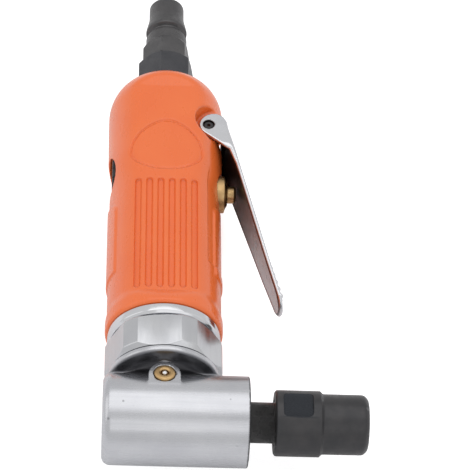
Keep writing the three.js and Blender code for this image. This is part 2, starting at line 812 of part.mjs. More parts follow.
function makeHousing(shoulderY) {
  const spigot = nut.threadRadius - runGap;
  const passageStart = rearHubEnd + seatGap;
  let body = turnedY([
    [0, spigotFront],
    [spigot, spigotFront],
    [spigot, ringFront - seatGap],
    [housing.radius, ringFront - seatGap],
    [housing.radius, housing.rearStart],
    [housing.rearRadius, housing.rearStart + housing.taper],
    [housing.rearRadius, housing.end],
    [0, housing.end],
  ]);
  const half = housing.lugHalfWidth;
  const out = housing.radius;
  const flatBlock = block(-out, out, ringRear, housing.end, -housing.flatHeight, housing.flatHeight);
  const collar = barY(housing.radius + cutOver, spigotFront - cutOver, ringRear + fitGap, roundSides);
  body = body.intersect(flatBlock.add(collar));
  body = body.add(block(0, housing.lugReach, lugFront, lugRear, -half, half));
  const webFront = frontBearingY + rotorBearing.width;
  const stepY = webFront - (webFront - frontBearingY) * motor.flangeShare - fitGap;
  const hub = rotorBearing.outer + motor.hubWall + fitGap;
  body = body.subtract(barY(housing.spigotBore, spigotFront - cutOver, stepY + cutOver));
  body = body.subtract(barY(housing.motorBore, stepY, shoulderY, roundSides));
  body = body.subtract(barY(hub, shoulderY - cutOver, passageStart));
  body = body.subtract(throttleBore());
  const seat = barX(throttle.flangeRadius + fitGap, out - throttle.seatDepth, out + cutOver);
  body = body.subtract(seat.translate([0, throttle.centre, 0]));
  const dialBore = barX(dial.shank + runGap, dial.face, dialShankEnd + seatGap, boreSides);
  const dialSeat = barX(dial.radius + seatGap, -housing.radius - cutOver, dialBack + seatGap, boreSides);
  body = body.subtract(dialBore.add(dialSeat).translate([0, dialWindow.centre, 0]));
  body = body.subtract(barY(bushing.shank + fitGap, inletStart, housing.end + cutOver));
  body = body.subtract(barY(housing.passage, throttle.centre, inletStart + cutOver, smallSides));
  body = body.subtract(barY(housing.passage / 2, rearHubEnd, throttle.centre, smallSides));
  place("motor_housing", body.subtract(pinHole(leverPin.radius + fitGap / 2)), castAlloy);
}
const dialBack = dial.face + dial.thickness;
const dialShankEnd = dialBack + dial.shankLength;

// The outline of the thumb rest: a rounded egg, wider towards the head.
function thumbOutline() {
  return Array.from({ length: thumb.sides }, (_, i) => {
    const a = (2 * Math.PI * i) / thumb.sides;
    const along = Math.sin(a);
    const width = (thumb.width / 2) * (1 - thumb.tuckShare * along - thumb.tuckShare * along * along);
    return [width * Math.cos(a), thumb.centre + (thumb.length / 2) * along];
  });
}

// A straight groove outline with round ends.
function slotOutline(x, width, from, to) {
  const r = width / 2;
  const points = [];
  for (let i = 0; i <= ribs.roundSides; i++) {
    const a = Math.PI * (i / ribs.roundSides);
    points.push([x + r * Math.cos(a), to - r + r * Math.sin(a)]);
  }
  for (let i = 0; i <= ribs.roundSides; i++) {
    const a = Math.PI * (1 + i / ribs.roundSides);
    points.push([x + r * Math.cos(a), from + r + r * Math.sin(a)]);
  }
  return points;
}

// The pieces cut off the sleeve to leave its flat top and underside, with a slope towards the front lip.
function flatCutters() {
  const s = sleeve;
  const out = s.rearRadius + cutOver;
  const outline = [
    [s.flatStart - s.flatRamp, out],
    [s.flatStart, s.flatHeight],
    [s.flatEnd, s.flatHeight],
    [s.flatEnd + 2 * s.flatRamp, out],
  ];
  const top = plate(outline, -out, out).rotate([90, 0, 90]);
  return top.add(top.rotate([0, 180, 0]));
}

function makeSleeve() {
  const s = sleeve;
  const bandEnd = sleeveFront + s.bandLength;
  const outside = [
    [s.lipRadius, sleeveFront],
    [s.frontRadius, sleeveFront + s.lipLength],
    [s.frontRadius, bandEnd],
    [s.waistRadius, bandEnd + s.bandTaper],
    [s.waistRadius, s.waistEnd],
    [s.gripRadius, s.gripStart],
    [s.rearRadius, s.shoulderStart],
  ];
  for (let i = 1; i <= s.shoulderSteps; i++) {
    const a = (Math.PI / 2) * (i / s.shoulderSteps);
    const r = s.rearRadius - s.shoulderDrop * (1 - Math.cos(a));
    outside.push([r, s.shoulderStart + s.shoulderLength * Math.sin(a)]);
  }
  const wallInside = housing.radius + fitGap;
  const rearInside = housing.rearRadius + fitGap;
  const cavityEnd = sleeveRear - s.rearWall;
  const inside = [
    [wallInside, sleeveFront - cutOver],
    [wallInside, housing.rearStart + fitGap],
    [rearInside, housing.rearStart + housing.taper + fitGap],
    [rearInside, s.shoulderStart + s.shoulderLength / 3],
    [rearInside - s.rearWall, cavityEnd],
    [s.mouth, cavityEnd],
    [s.mouth, sleeveRear + cutOver],
  ];
  let body = turnedY([[0, sleeveFront], ...outside, [0, sleeveRear]], sleeveSides).subtract(flatCutters());
  const cavity = turnedY([[0, sleeveFront - cutOver], ...inside, [0, sleeveRear + cutOver]], sleeveSides);
  const inner = housing.flatHeight + fitGap;
  const reach = s.gripRadius;
  body = body.subtract(cavity.intersect(block(-reach, reach, 0, 2 * sleeveRear, -inner, inner)));
  for (const side of [-1, 1]) {
    const mid = panel.end - panel.halfHeight * panel.archShare;
    const outline = [[panel.start, -panel.halfHeight], [mid, -panel.halfHeight]];
    for (let i = 1; i < panel.sides; i++) {
      const a = -Math.PI / 2 + Math.PI * (i / panel.sides);
      outline.push([mid + (panel.end - mid) * Math.cos(a), panel.halfHeight * Math.sin(a)]);
    }
    outline.push([mid, panel.halfHeight], [panel.start, panel.halfHeight]);
    const slab = plate(outline, 0, s.waistRadius + panel.raise).rotate([90, 0, 90]);
    const shell = tubeY(wallInside, s.waistRadius + panel.raise, panel.start, panel.end, sleeveSides);
    body = body.add(slab.intersect(shell).rotate([0, side < 0 ? 180 : 0, 0]));
  }
  const egg = plate(thumbOutline(), s.flatHeight - thumb.depth, s.rearRadius + cutOver);
  body = body.subtract(egg);
  const middle = (ribs.count - 1) / 2;
  for (let i = 0; i < ribs.count; i++) {
    const x = (i - middle) * ribs.pitch;
    const groove = slotOutline(x, ribs.width, ribs.start, ribs.end);
    body = body.subtract(plate(groove, s.flatHeight - ribs.depth, s.rearRadius));
  }
  body = body.subtract(leverPockets());
  const lug = housing.lugHalfWidth + seatGap;
  const out = s.rearRadius + cutOver;
  body = body.subtract(block(housing.lugReach / 2, out, lugFront - seatGap, lugRear + seatGap, -lug, lug));
  body = body.subtract(pinHole(leverPin.radius + fitGap));
  const valveHole = barX(throttle.flangeRadius + seatGap, 0, s.rearRadius + cutOver, boreSides);
  body = body.subtract(valveHole.translate([0, throttle.centre, 0]));
  const dialHole = barX(1, -s.rearRadius - cutOver, 0, dialWindow.sides)
    .scale([1, dialWindow.halfLength, dialWindow.halfHeight])
    .translate([0, dialWindow.centre, 0]);
  place("grip_sleeve", body.subtract(dialHole), orange);
}

// The two pockets that the lever's ears turn in.
function leverPockets() {
  const arc = [];
  const centreX = pocket.endX + pocket.radius;
  for (let i = 0; i <= pocket.steps; i++) {
    const a = Math.PI * (pocket.turnShare + i / pocket.steps);
    arc.push([centreX + pocket.radius * Math.cos(a), lever.pivotY + pocket.radius * Math.sin(a)]);
  }
  const out = sleeve.rearRadius + cutOver;
  const lowY = lever.pivotY - pocket.radius;
  const highY = lever.pivotY + pocket.radius;
  const outline = [...arc, [out, lowY - pocket.radius], [out, highY]];
  const upper = plate(outline, pocket.floor, out);
  return upper.add(plate(outline, -out, -pocket.floor));
}

function makeThrottle() {
  const t = throttle;
  const at = (made) => made.translate([0, t.centre, 0]);
  const bore = t.stemRadius + runGap;
  const inner = t.flangeFace - t.bushDepth;
  const face = t.flangeFace + t.flangeLength;
  const bush = turnedX([
    [bore, inner],
    [t.threadRadius, inner],
    [t.threadRadius, t.flangeFace],
    [t.flangeRadius, t.flangeFace],
    [t.flangeRadius, face - t.dome / 2],
    [t.flangeRadius - t.dome * 2, face],
    [bore + t.dome, face + t.dome],
    [bore, face + t.dome],
  ], boreSides);
  place("throttle_bush", at(bush), brass);
  const sealStart = housing.radius - t.seatDepth + fitGap;
  const seal = tubeX(t.threadRadius + fitGap / 2, t.flangeRadius, sealStart, t.flangeFace - fitGap / 2);
  place("bush_seal", at(seal), rubber);
  const stem = turnedX([
    [0, valveFront + fitGap],
    [t.stemRadius, valveFront + fitGap],
    [t.stemRadius, stemTip - t.stemChamfer],
    [t.stemRadius - t.stemChamfer, stemTip],
    [0, stemTip],
  ], boreSides);
  place("throttle_stem", at(stem), brass);
  const valve = turnedX([
    [0, valveFront - t.valveLength],
    [t.valveRadius, valveFront - t.valveLength],
    [t.valveRadius, valveFront - t.valveLength / 3],
    [t.stemRadius, valveFront],
    [0, valveFront],
  ], boreSides);
  place("throttle_valve", at(valve), rubber);
  place("valve_spring", at(makeSpring()), steel);
}

// A helical spring along X, with its turns as one unbroken tube.
function makeSpring() {
  const t = throttle;
  const steps = t.springTurns * 10;
  const sides = 5;
  const pitch = (t.springLength - 2 * t.springWire) / t.springTurns;
  const from = springStart - t.springLength + t.springWire;
  const at = (u) => {
    const a = 2 * Math.PI * u;
    return new THREE.Vector3(from + pitch * u, t.springRadius * Math.cos(a), t.springRadius * Math.sin(a));
  };
  const rings = [];
  for (let i = 0; i <= steps; i++) {
    const u = (i / steps) * t.springTurns;
    const centre = at(u);
    const out = new THREE.Vector3(0, centre.y, centre.z).normalize();
    const slope = pitch / (2 * Math.PI * t.springRadius);
    const along = new THREE.Vector3(slope, -out.z, out.y).normalize();
    const side = new THREE.Vector3().crossVectors(out, along).normalize();
    rings.push(ringPoints(sides, t.springWire).map(([a, b]) => {
      return centre.clone().addScaledVector(out, a).addScaledVector(side, b);
    }));
  }
  const positions = [];
  const triangle = (a, b, c) => positions.push(...a.toArray(), ...b.toArray(), ...c.toArray());
  for (let i = 0; i < steps; i++) {
    for (let k = 0; k < sides; k++) {
      const l = (k + 1) % sides;
      triangle(rings[i][k], rings[i + 1][k], rings[i][l]);
      triangle(rings[i][l], rings[i + 1][k], rings[i + 1][l]);
    }
  }
  const first = at(0);
  const last = at(t.springTurns);
  for (let k = 0; k < sides; k++) {
    const l = (k + 1) % sides;
    triangle(first, rings[0][k], rings[0][l]);
    triangle(last, rings[steps][l], rings[steps][k]);
  }
  const geometry = new THREE.BufferGeometry();
  geometry.setAttribute("position", new THREE.BufferAttribute(new Float32Array(positions), 3));
  return solid(mergeVertices(geometry, 1e-4));
}

function makeDial() {
  const d = dial;
  const at = (made) => made.translate([0, dialWindow.centre, 0]);
  let made = turnedX([
    [0, d.face],
    [d.radius - d.notchRadius, d.face],
    [d.radius, d.face + d.notchRadius],
    [d.radius, dialBack],
    [d.shank, dialBack],
    [d.shank, dialShankEnd - 2 * d.sealWidth],
    [d.shank - d.sealDepth, dialShankEnd - 2 * d.sealWidth],
    [d.shank - d.sealDepth, dialShankEnd - d.sealWidth],
    [d.shank, dialShankEnd - d.sealWidth],
    [d.shank, dialShankEnd],
    [0, dialShankEnd],
  ], 2 * d.notches);
  const notch = barX(d.notchRadius, d.face - cutOver, dialBack + d.notchRadius / 2, d.notchSides);
  for (const [y, z] of ringPoints(d.notches, d.radius)) made = made.subtract(notch.translate([0, y, z]));
  const half = d.slotWidth / 2;
  const reach = d.slotLength / 2;
  const slot = block(d.face - cutOver, d.face + d.slotDepth, -half, half, -reach, reach);
  place("regulator_dial", at(made.subtract(slot.rotate([d.slotTurn, 0, 0]))), blackened);
  const sealFrom = dialShankEnd - 2 * d.sealWidth + fitGap;
  const sealTo = dialShankEnd - d.sealWidth - fitGap;
  const seal = tubeX(d.shank - d.sealDepth + fitGap, d.shank, sealFrom, sealTo, 2 * d.notches);
  place("regulator_seal", at(seal), rubber);
}

// The lever is pressed from sheet: two ears, a back plate and a shallow flange along both sides.
function leverLine(inset) {
  const line = [
    [lever.backTopX, lever.backTopY],
    [lever.bendX, lever.bendY],
    [lever.tipX, lever.tipY],
  ];
  return line.map(([x, y]) => [x - inset, y]);
}
function leverPlan(inset) {
  const wide = lever.earFace - inset;
  const narrow = lever.tipHalfWidth - inset;
  const end = lever.tipY + inset;
  const half = [[lever.earBackY + cutOver, wide], [lever.wideUntil, wide]];
  for (let i = 0; i < lever.tipSteps; i++) {
    const a = (Math.PI / 2) * (i / lever.tipSteps);
    half.push([end + lever.tipRound * (1 - Math.sin(a)), narrow * Math.cos(a)]);
  }
  return [...half, ...half.map(([y, z]) => [y, -z]).reverse()];
}
// The plan outline stands on the YZ plane and reaches along X.
const planSolid = (outline, reach) => plate(outline, 0, reach).rotate([90, 0, 90]);

function makeLever() {
  const reach = lever.tipX + cutOver;
  const outer = leverLine(0);
  const free = leverLine(lever.flange).reverse().slice(0, -1);
  free.push([leverBackX(lever.flangeEnd) - lever.flange, lever.flangeEnd]);
  const earArc = [];
  for (let i = 0; i <= lever.earSteps; i++) {
    const a = Math.PI * (lever.earStartShare + (lever.earTurnShare * i) / lever.earSteps);
    const cx = lever.pivotX + lever.earSet;
    earArc.push([cx + lever.earRadius * Math.cos(a), lever.pivotY + lever.earRadius * Math.sin(a)]);
  }
  const throat = [lever.throatX, lever.throatY];
  const earBack = [lever.earBackX, lever.earBackY];
  const side = [...outer, ...free, throat, ...earArc.reverse(), earBack];
  let made = plate(side, -lever.earFace, lever.earFace).intersect(planSolid(leverPlan(0), reach));
  const hollow = [
    [-lever.sheet, lever.earBackY + cutOver],
    [lever.backTopX - lever.sheet, lever.earBackY + cutOver],
    ...leverLine(lever.sheet),
    [lever.tipX - lever.sheet, lever.tipY - cutOver],
    [-lever.sheet, lever.tipY - cutOver],
  ];
  const innerPlan = planSolid(leverPlan(lever.sheet), reach);
  const inside = plate(hollow, -lever.earFace, lever.earFace).intersect(innerPlan);
  const between = lever.earFace - lever.sheet;
  const above = block(0, reach, lever.backTopY, lever.earBackY + cutOver, -between, between);
  made = made.subtract(inside).subtract(above).subtract(pinHole(leverPin.radius + runGap));
  place("throttle_lever", made, chrome);
  const length = lever.earFace - leverPin.inset;
  const bore = upright(leverPin.bore, 2 * length + cutOver, smallSides / 2);
  place("lever_pin", upright(leverPin.radius, 2 * length, smallSides).subtract(bore), blackened);
}
const backSlope = (lever.bendX - lever.backTopX) / (lever.backTopY - lever.bendY);
const leverBackX = (y) => lever.backTopX + backSlope * (lever.backTopY - y);
// The stem's chamfer corner stands just short of the lever's back plate.
const stemCorner = throttle.centre + throttle.stemRadius;
const stemTip = leverBackX(stemCorner) - lever.sheet - seatGap + backSlope * throttle.stemChamfer;

function chamferedHex(across, from, to, chamferFrom, chamferTo, turn) {
  const corner = across / 2 / Math.cos(Math.PI / 6);
  const flat = across / 2;
  const round = turnedY([
    [0, from],
    [chamferFrom > 0 ? flat : corner, from],
    [corner, from + chamferFrom],
    [corner, to - chamferTo],
    [chamferTo > 0 ? flat : corner, to],
    [0, to],
  ], boreSides);
  return round.intersect(prismY(6, across, from - cutOver, to + cutOver, turn));
}

function makeInlet() {
  const b = bushing;
  const threadFloor = hexRear - b.threadDepth;
  let made = chamferedHex(b.across, hexFront, hexRear, b.cornerChamfer / 2, b.cornerChamfer, b.turn);
  made = made.add(barY(b.shank, inletStart + screen.thickness + 2 * seatGap, hexFront + fitGap));
  made = made.subtract(barY(b.bore, inletStart, hexRear));
  made = made.subtract(barY(b.threadRadius + fitGap, threadFloor, hexRear + cutOver));
  place("inlet_bushing", made, blackened);

  const screenStart = inletStart + seatGap;
  const screenEnd = screenStart + screen.thickness;
  let disc = barY(b.shank, screenStart, screenEnd);
  const hole = barY(screen.holeRadius, inletStart, screenEnd + cutOver, screen.holeSides);
  for (const [x, z] of ringPoints(screen.holes, screen.ring)) disc = disc.subtract(hole.translate([x, 0, z]));
  place("inlet_screen", disc.subtract(hole), brass);

  const p = plug;
  const shaftStart = threadFloor + seatGap;
  const lipEnd = plugLip + p.lipLength;
  const round = p.tipRound * (1 - Math.SQRT1_2);
  const probe = turnedY([
    [0, plugCollar - fitGap],
    [p.collarRadius, plugCollar - fitGap],
    [p.collarRadius, plugGroove],
    [p.grooveRadius, plugGroove + p.grooveLength / 4],
    [p.grooveRadius, plugLip - p.grooveLength / 4],
    [p.lipRadius, plugLip],
    [p.lipRadius, lipEnd],
    [(p.lipRadius + p.tipRadius) / 2, lipEnd + p.flareLength / 2],
    [p.tipRadius, plugFlare],
    [p.tipRadius, plugTip - p.tipRound],
    [p.tipRadius - round, plugTip - round],
    [p.tipRadius - p.tipRound, plugTip],
    [0, plugTip],
  ], boreSides);
  let body = probe.add(chamferedHex(p.across, plugHexFront, plugCollar, 0, p.hexLength / 4, p.turn));
  body = body.add(barY(b.threadRadius - fitGap / 2, shaftStart, plugHexFront + fitGap));
  place("air_plug", body.subtract(barY(p.bore, shaftStart - cutOver, plugTip + cutOver)), blackened);

  const feltStart = housing.end + seatGap;
  const feltEnd = feltStart + silencer.length;
  place("exhaust_silencer", tubeY(b.shank + fitGap, silencer.radius, feltStart, feltEnd), felt);
}

place("angle_head", makeHead(), castAlloy);
makeGreaseFitting();
makeNut();
makeFrontRing();
makeSpindle();
bearing("spindle_rear_bearing", spindleRearBearing, rearBearingX, true);
bearing("spindle_front_bearing", spindleFrontBearing, frontBearingX, true);
makeRetainer();
const pinionTail = makeBevels();
bearing("pinion_front_bearing", pinionBearing, pinionBearingY, false);
bearing("pinion_rear_bearing", pinionBearing, pinionBearingY + pinionBearing.width + seatGap / 2, false);
makeCollet();
makeColletNut();
bearing("rotor_front_bearing", rotorBearing, frontBearingY, false);
bearing("rotor_rear_bearing", rotorBearing, rearBearingY + fitGap, false);
const motorShoulder = makeMotor(pinionTail);
makeHousing(motorShoulder);
makeSleeve();
makeThrottle();
makeDial();
makeLever();
makeInlet();

// Set down on its round side, centred over the origin.
const box = new THREE.Box3().setFromObject(tool);
const middle = box.getCenter(new THREE.Vector3());
tool.position.set(-middle.x, -middle.y, -box.min.z);
const assembly = new THREE.Group();
assembly.add(tool);

export default assembly;
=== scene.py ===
import json
import math
from functools import reduce

import bmesh
import bpy
import numpy as np
from mathutils import Matrix, Vector


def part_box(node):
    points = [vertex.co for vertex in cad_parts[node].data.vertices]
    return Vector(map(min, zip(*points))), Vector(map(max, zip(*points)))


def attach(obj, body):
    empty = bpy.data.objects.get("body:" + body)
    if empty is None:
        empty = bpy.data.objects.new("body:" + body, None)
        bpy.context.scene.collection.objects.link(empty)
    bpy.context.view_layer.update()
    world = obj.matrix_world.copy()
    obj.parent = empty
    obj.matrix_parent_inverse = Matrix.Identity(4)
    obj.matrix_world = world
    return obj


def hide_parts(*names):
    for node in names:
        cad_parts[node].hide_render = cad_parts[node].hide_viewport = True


# Right angle air die grinder: the looks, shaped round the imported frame.
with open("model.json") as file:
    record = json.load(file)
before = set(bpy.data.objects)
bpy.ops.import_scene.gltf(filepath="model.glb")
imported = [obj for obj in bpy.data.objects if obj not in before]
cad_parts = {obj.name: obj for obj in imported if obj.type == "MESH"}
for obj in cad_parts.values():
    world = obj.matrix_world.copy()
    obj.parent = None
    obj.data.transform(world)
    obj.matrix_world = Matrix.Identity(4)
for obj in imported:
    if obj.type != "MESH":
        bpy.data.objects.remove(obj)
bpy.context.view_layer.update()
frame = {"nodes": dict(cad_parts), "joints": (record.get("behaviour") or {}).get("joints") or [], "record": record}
print("frame loaded,", len(frame["nodes"]), "nodes")

# Pieces are shaped in millimetres round the point where the two axes cross, with the handle along Y (hose
# end at +Y) and the spindle along X (collet at +X). They go to the frame's place as each mesh is written.
mm = 0.001
joints = {joint["name"]: joint for joint in frame["joints"]}
handleAt = joints["rotor_spin"]["pos_m"]
spindleAt = joints["spindle_spin"]["pos_m"]
crossing = np.array([handleAt[0], spindleAt[1], spindleAt[2]]) / mm
slotOf = {part["node"]: part["material_slot"] for part in frame["record"]["subparts"]}
bodyOf = {node: body for body, nodes in frame["record"]["behaviour"]["bodies"].items() for node in nodes}
finishes = {}
weldWithin, shortestEdge = 2e-4, 1e-5  # millimetres, for cleaning a mesh
filletSteps = 4  # segments along a rounded corner of a turned piece
pullRounds = 3  # times that a moulded surface is pulled onto its shape


class Settings(dict):
    # a dictionary whose values can also be read as names, as in head.edge
    __getattr__ = dict.__getitem__


def jointAt(name):
    return np.array(joints[name]["pos_m"]) / mm - crossing


def extent(node):
    low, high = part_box(node)
    return np.array(low) / mm - crossing, np.array(high) / mm - crossing


def span(node, axis):
    return [corner[axis] for corner in extent(node)]


def addObject(name, data):
    obj = bpy.data.objects.new(name, data)
    bpy.context.scene.collection.objects.link(obj)
    return obj


# Meshes
def addMesh(name, points, faces, sharpAngle=28, normals=None):
    # a mesh that comes with its normals is kept as it is, and any other is cleaned and shaded by its angles
    mesh = bpy.data.meshes.new(name)
    mesh.from_pydata((np.asarray(points, float) + crossing) * mm, [], faces)
    if normals is None:
        work = bmesh.new()
        work.from_mesh(mesh)
        bmesh.ops.remove_doubles(work, verts=work.verts, dist=weldWithin * mm)
        bmesh.ops.dissolve_degenerate(work, edges=work.edges, dist=shortestEdge * mm)
        bmesh.ops.recalc_face_normals(work, faces=work.faces)
        work.to_mesh(mesh)
        work.free()
    mesh.shade_smooth()
    if normals is None:
        mesh.set_sharp_from_angle(angle=math.radians(sharpAngle))
    else:
        mesh.normals_split_custom_set_from_vertices(normals.tolist())
    return addObject(name, mesh)


def markPoints(obj, name, shade):
    # a value at each point of the mesh that its finish can read
    points = np.array([v.co for v in obj.data.vertices]) / mm - crossing
    mark = obj.data.attributes.new(name, "FLOAT", "POINT")
    mark.data.foreach_set("value", np.asarray(shade(*points.T), np.float32))


def fit(obj, *nodes, finish=None):
    first = nodes[0]
    obj.data.materials.append(finishes[finish or slotOf[first]])
    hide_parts(*nodes)
    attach(obj, bodyOf[first])
    return obj


def softened(corners, closed):
    # corners are (radius, along) or (radius, along, fillet)
    line = []
    count = len(corners)
    for i, corner in enumerate(corners):
        here = np.array(corner[:2], float)
        size = corner[2] if len(corner) > 2 else 0
        inner = closed or 0 < i < count - 1
        if not size or not inner:
            line += [here] * (filletSteps + 1 if size else 1)
            continue
        before = np.array(corners[i - 1][:2], float) - here
        after = np.array(corners[(i + 1) % count][:2], float) - here
        legs = [max(np.linalg.norm(v), 1e-6) for v in (before, after)]
        reach = [min(size, leg / 2) / leg for leg in legs]
        a, b = here + before * reach[0], here + after * reach[1]
        for k in range(filletSteps + 1):
            t = k / filletSteps
            line.append((1 - t) ** 2 * a + 2 * t * (1 - t) * here + t ** 2 * b)
    return np.array(line)


def evenAngles(count, extra=()):
    base = [i * 360 / count for i in range(count)]
    return sorted(set(round(a % 360, 4) for a in [*base, *extra]))


def spin(name, cornersAt, angles, axis="y", closed=False, centre=(0, 0, 0), place=None, sharpAngle=28):
    # cornersAt is a list of corners, or a function of the angle that gives one
    at = cornersAt if callable(cornersAt) else lambda angle: cornersAt
    rings = np.array([softened(at(a), closed) for a in angles])
    turn = np.radians(angles)[:, None]
    radius, along = rings[..., 0], rings[..., 1]
    if axis == "y":
        points = np.stack([radius * np.sin(turn), along, radius * np.cos(turn)], -1)
    elif axis == "x":
        points = np.stack([along, -radius * np.sin(turn), radius * np.cos(turn)], -1)
    else:
        points = np.stack([radius * np.sin(turn), radius * np.cos(turn), along], -1)
    n, m = radius.shape
    faces = []
    for i in range(n):
        j = (i + 1) % n
        for k in range(m if closed else m - 1):
            l = (k + 1) % m
            faces.append((i * m + k, j * m + k, j * m + l, i * m + l))
    points = points.reshape(-1, 3) + np.array(centre, float)
    return addMesh(name, place(points) if place else points, faces, sharpAngle)


def hexRadius(angle, across, corner):
    # how far a hexagon reaches in a direction, with one corner at the angle given
    off = (angle - corner) % 60 - 30
    return across / 2 / math.cos(math.radians(off))


def turned(u, v, degrees):
    # two coordinates of a point, turned by an angle
    a = math.radians(degrees)
    return u * math.cos(a) - v * math.sin(a), u * math.sin(a) + v * math.cos(a)


# Smooth joins for the solid shapes below: distances are negative inside.
def softMin(a, b, k):
    h = np.clip(0.5 + 0.5 * (b - a) / k, 0, 1)
    return b + (a - b) * h - k * h * (1 - h)


def softMax(a, b, k):
    return -softMin(-a, -b, k)


def allOf(*shapes):
    # what lies inside every one of the shapes
    return reduce(np.maximum, shapes)


def anyOf(*shapes):
    return reduce(np.minimum, shapes)


def ramp(v, low, high):
    t = np.clip((v - low) / (high - low), 0, 1)
    return t * t * (3 - 2 * t)


def rodDistance(across, along, radius, low, high, edge):
    # a round bar with rounded ends
    a = across - radius + edge
    b = np.abs(along - (low + high) / 2) - (high - low) / 2 + edge
    return np.minimum(np.maximum(a, b), 0) + np.hypot(np.maximum(a, 0), np.maximum(b, 0)) - edge


def outlineDistance(u, v, outline):
    # signed distance to a closed outline
    u, v = np.broadcast_arrays(u, v)
    best = np.full(u.shape, 1e9)
    inside = np.zeros(u.shape, bool)
    for (ax, ay), (bx, by) in zip(outline, outline[1:] + outline[:1]):
        ex, ey = bx - ax, by - ay
        t = np.clip(((u - ax) * ex + (v - ay) * ey) / (ex * ex + ey * ey), 0, 1)
        best = np.minimum(best, np.hypot(u - ax - t * ex, v - ay - t * ey))
        if ey:
            inside ^= ((ay > v) != (by > v)) & (u < ex * (v - ay) / ey + ax)
    return np.where(inside, -best, best)


def moulded(name, distance, low, high, cell):
    # a surface drawn over the zero of a distance function, then pulled onto it
    # the grid goes a little past the box
    axes = [np.arange(l - 1.5 * c, h + 2.5 * c, c) for l, h, c in zip(low, high, cell)]
    grid = np.meshgrid(*axes, indexing="ij", sparse=True)
    field = np.broadcast_to(distance(*grid), [len(a) for a in axes])
    inside = field < 0
    corners = [(i, j, k) for i in (0, 1) for j in (0, 1) for k in (0, 1)]

    def shifted(array, offset):
        return array[tuple(slice(o, array.shape[d] - 1 + o) for d, o in enumerate(offset))]

    filled = sum(shifted(inside, c).astype(np.int8) for c in corners)
    mixed = (filled > 0) & (filled < 8)
    cells = np.argwhere(mixed)
    number = np.full(mixed.shape, -1)
    number[mixed] = np.arange(len(cells))
    total = np.zeros((len(cells), 3))
    hits = np.zeros(len(cells))
    for start in corners:
        for d in range(3):
            if start[d]:
                continue
            end = tuple(1 if e == d else s for e, s in enumerate(start))
            a = shifted(field, start)[mixed]
            b = shifted(field, end)[mixed]
            cross = (a < 0) != (b < 0)
            share = np.where(cross, a / np.where(cross, a - b, 1), 0)
            place = np.array(start, float)[None] + np.zeros((len(cells), 3))
            place[:, d] = share
            total += place * cross[:, None]
            hits += cross
    points = np.array([a[0] for a in axes]) + (cells + total / hits[:, None]) * np.array(cell)

    def slope(p, step):
        # how fast the distance grows along each axis
        rises = [distance(*(p + q).T) - distance(*(p - q).T) for q in np.eye(3) * step]
        return np.stack(rises, 1) / (2 * step)

    reach = min(cell)
    for _ in range(pullRounds):
        g = slope(points, reach / 6)
        move = -distance(*points.T)[:, None] * g / np.maximum((g * g).sum(1), 0.05)[:, None]
        points = points + np.clip(move, -reach / 2, reach / 2)
    normals = slope(points, reach / 3)
    normals /= np.maximum(np.linalg.norm(normals, axis=1), 1e-9)[:, None]
    faces = []
    for d in range(3):
        e, f = (d + 1) % 3, (d + 2) % 3
        spots = np.argwhere(np.diff(inside, axis=d))
        spots = spots[(spots[:, e] > 0) & (spots[:, f] > 0)]
        spots = spots[(spots[:, e] < mixed.shape[e]) & (spots[:, f] < mixed.shape[f])]
        quad = []
        for de, df in ((1, 1), (0, 1), (0, 0), (1, 0)):
            near = spots.copy()
            near[:, e] -= de
            near[:, f] -= df
            quad.append(number[tuple(near.T)])
        quad = np.stack(quad, 1)
        leaving = inside[tuple(spots.T)]
        quad[~leaving] = quad[~leaving][:, ::-1]
        faces.append(quad)
    return addMesh(name, points, np.concatenate(faces).tolist(), normals=normals)


# Finishes
def feed(tree, sockets, values):
    # each value is a link from another node, a number or a colour
    for socket, value in zip(sockets, values):
        if isinstance(value, bpy.types.NodeSocket):
            tree.links.new(value, socket)
        else:
            socket.default_value = (*value, 1) if socket.type == "RGBA" else value


def addNode(tree, kind, *values, **settings):
    # the values go to the first inputs in their order, the settings to what they name
    node = tree.nodes.new(kind)
    for key, value in settings.items():
        if hasattr(node, key):
            setattr(node, key, value)
        else:
            feed(tree, [node.inputs[key]], [value])
    feed(tree, node.inputs, values)
    return node


def blendColor(tree, share, first, second):
    # inputs 6 and 7 and output 2 are the node's colours
    mix = addNode(tree, "ShaderNodeMix", data_type="RGBA")
    feed(tree, (mix.inputs[0], mix.inputs[6], mix.inputs[7]), (share, first, second))
    return mix.outputs[2]


def between(tree, value, low, high, toLow, toHigh):
    return addNode(tree, "ShaderNodeMapRange", value, low, high, toLow, toHigh).outputs[0]


def calc(tree, kind, a, b):
    return addNode(tree, "ShaderNodeMath", a, b, operation=kind).outputs[0]


def noise(tree, where, detail, rough=0.55):
    node = addNode(tree, "ShaderNodeTexNoise", Vector=where, Scale=1, Detail=detail, Roughness=rough)
    return node.outputs[0]


# what a finish is like where it says nothing else; a pattern's size is a count per millimetre, which can
# differ along X, Y and Z
plainLook = Settings(
    metal=0, cloud=0.08, cloudSpan=(0.35, 0.65), streak=0.3, streakSpan=(0.3, 0.7),
    streakDepth=0.3, streakShow=0.5, grain=2.5, grainDepth=0.3, bump=0.2, bumpHeight=0.1,
    ringWander=1.5, ringRough=0.03, weaveShow=0.5, pitFade=1.6, pitShow=0.55, wornFrom=(0.53, 0.62),
    wornShow=0.5, patches=0.9, patchSpan=(0.35, 0.6), patchLow=0.25, dirtFrom=(0.47, 0.4), dirtShow=0.4,
    coat=0, coatRough=0.1, sheen=0,
)


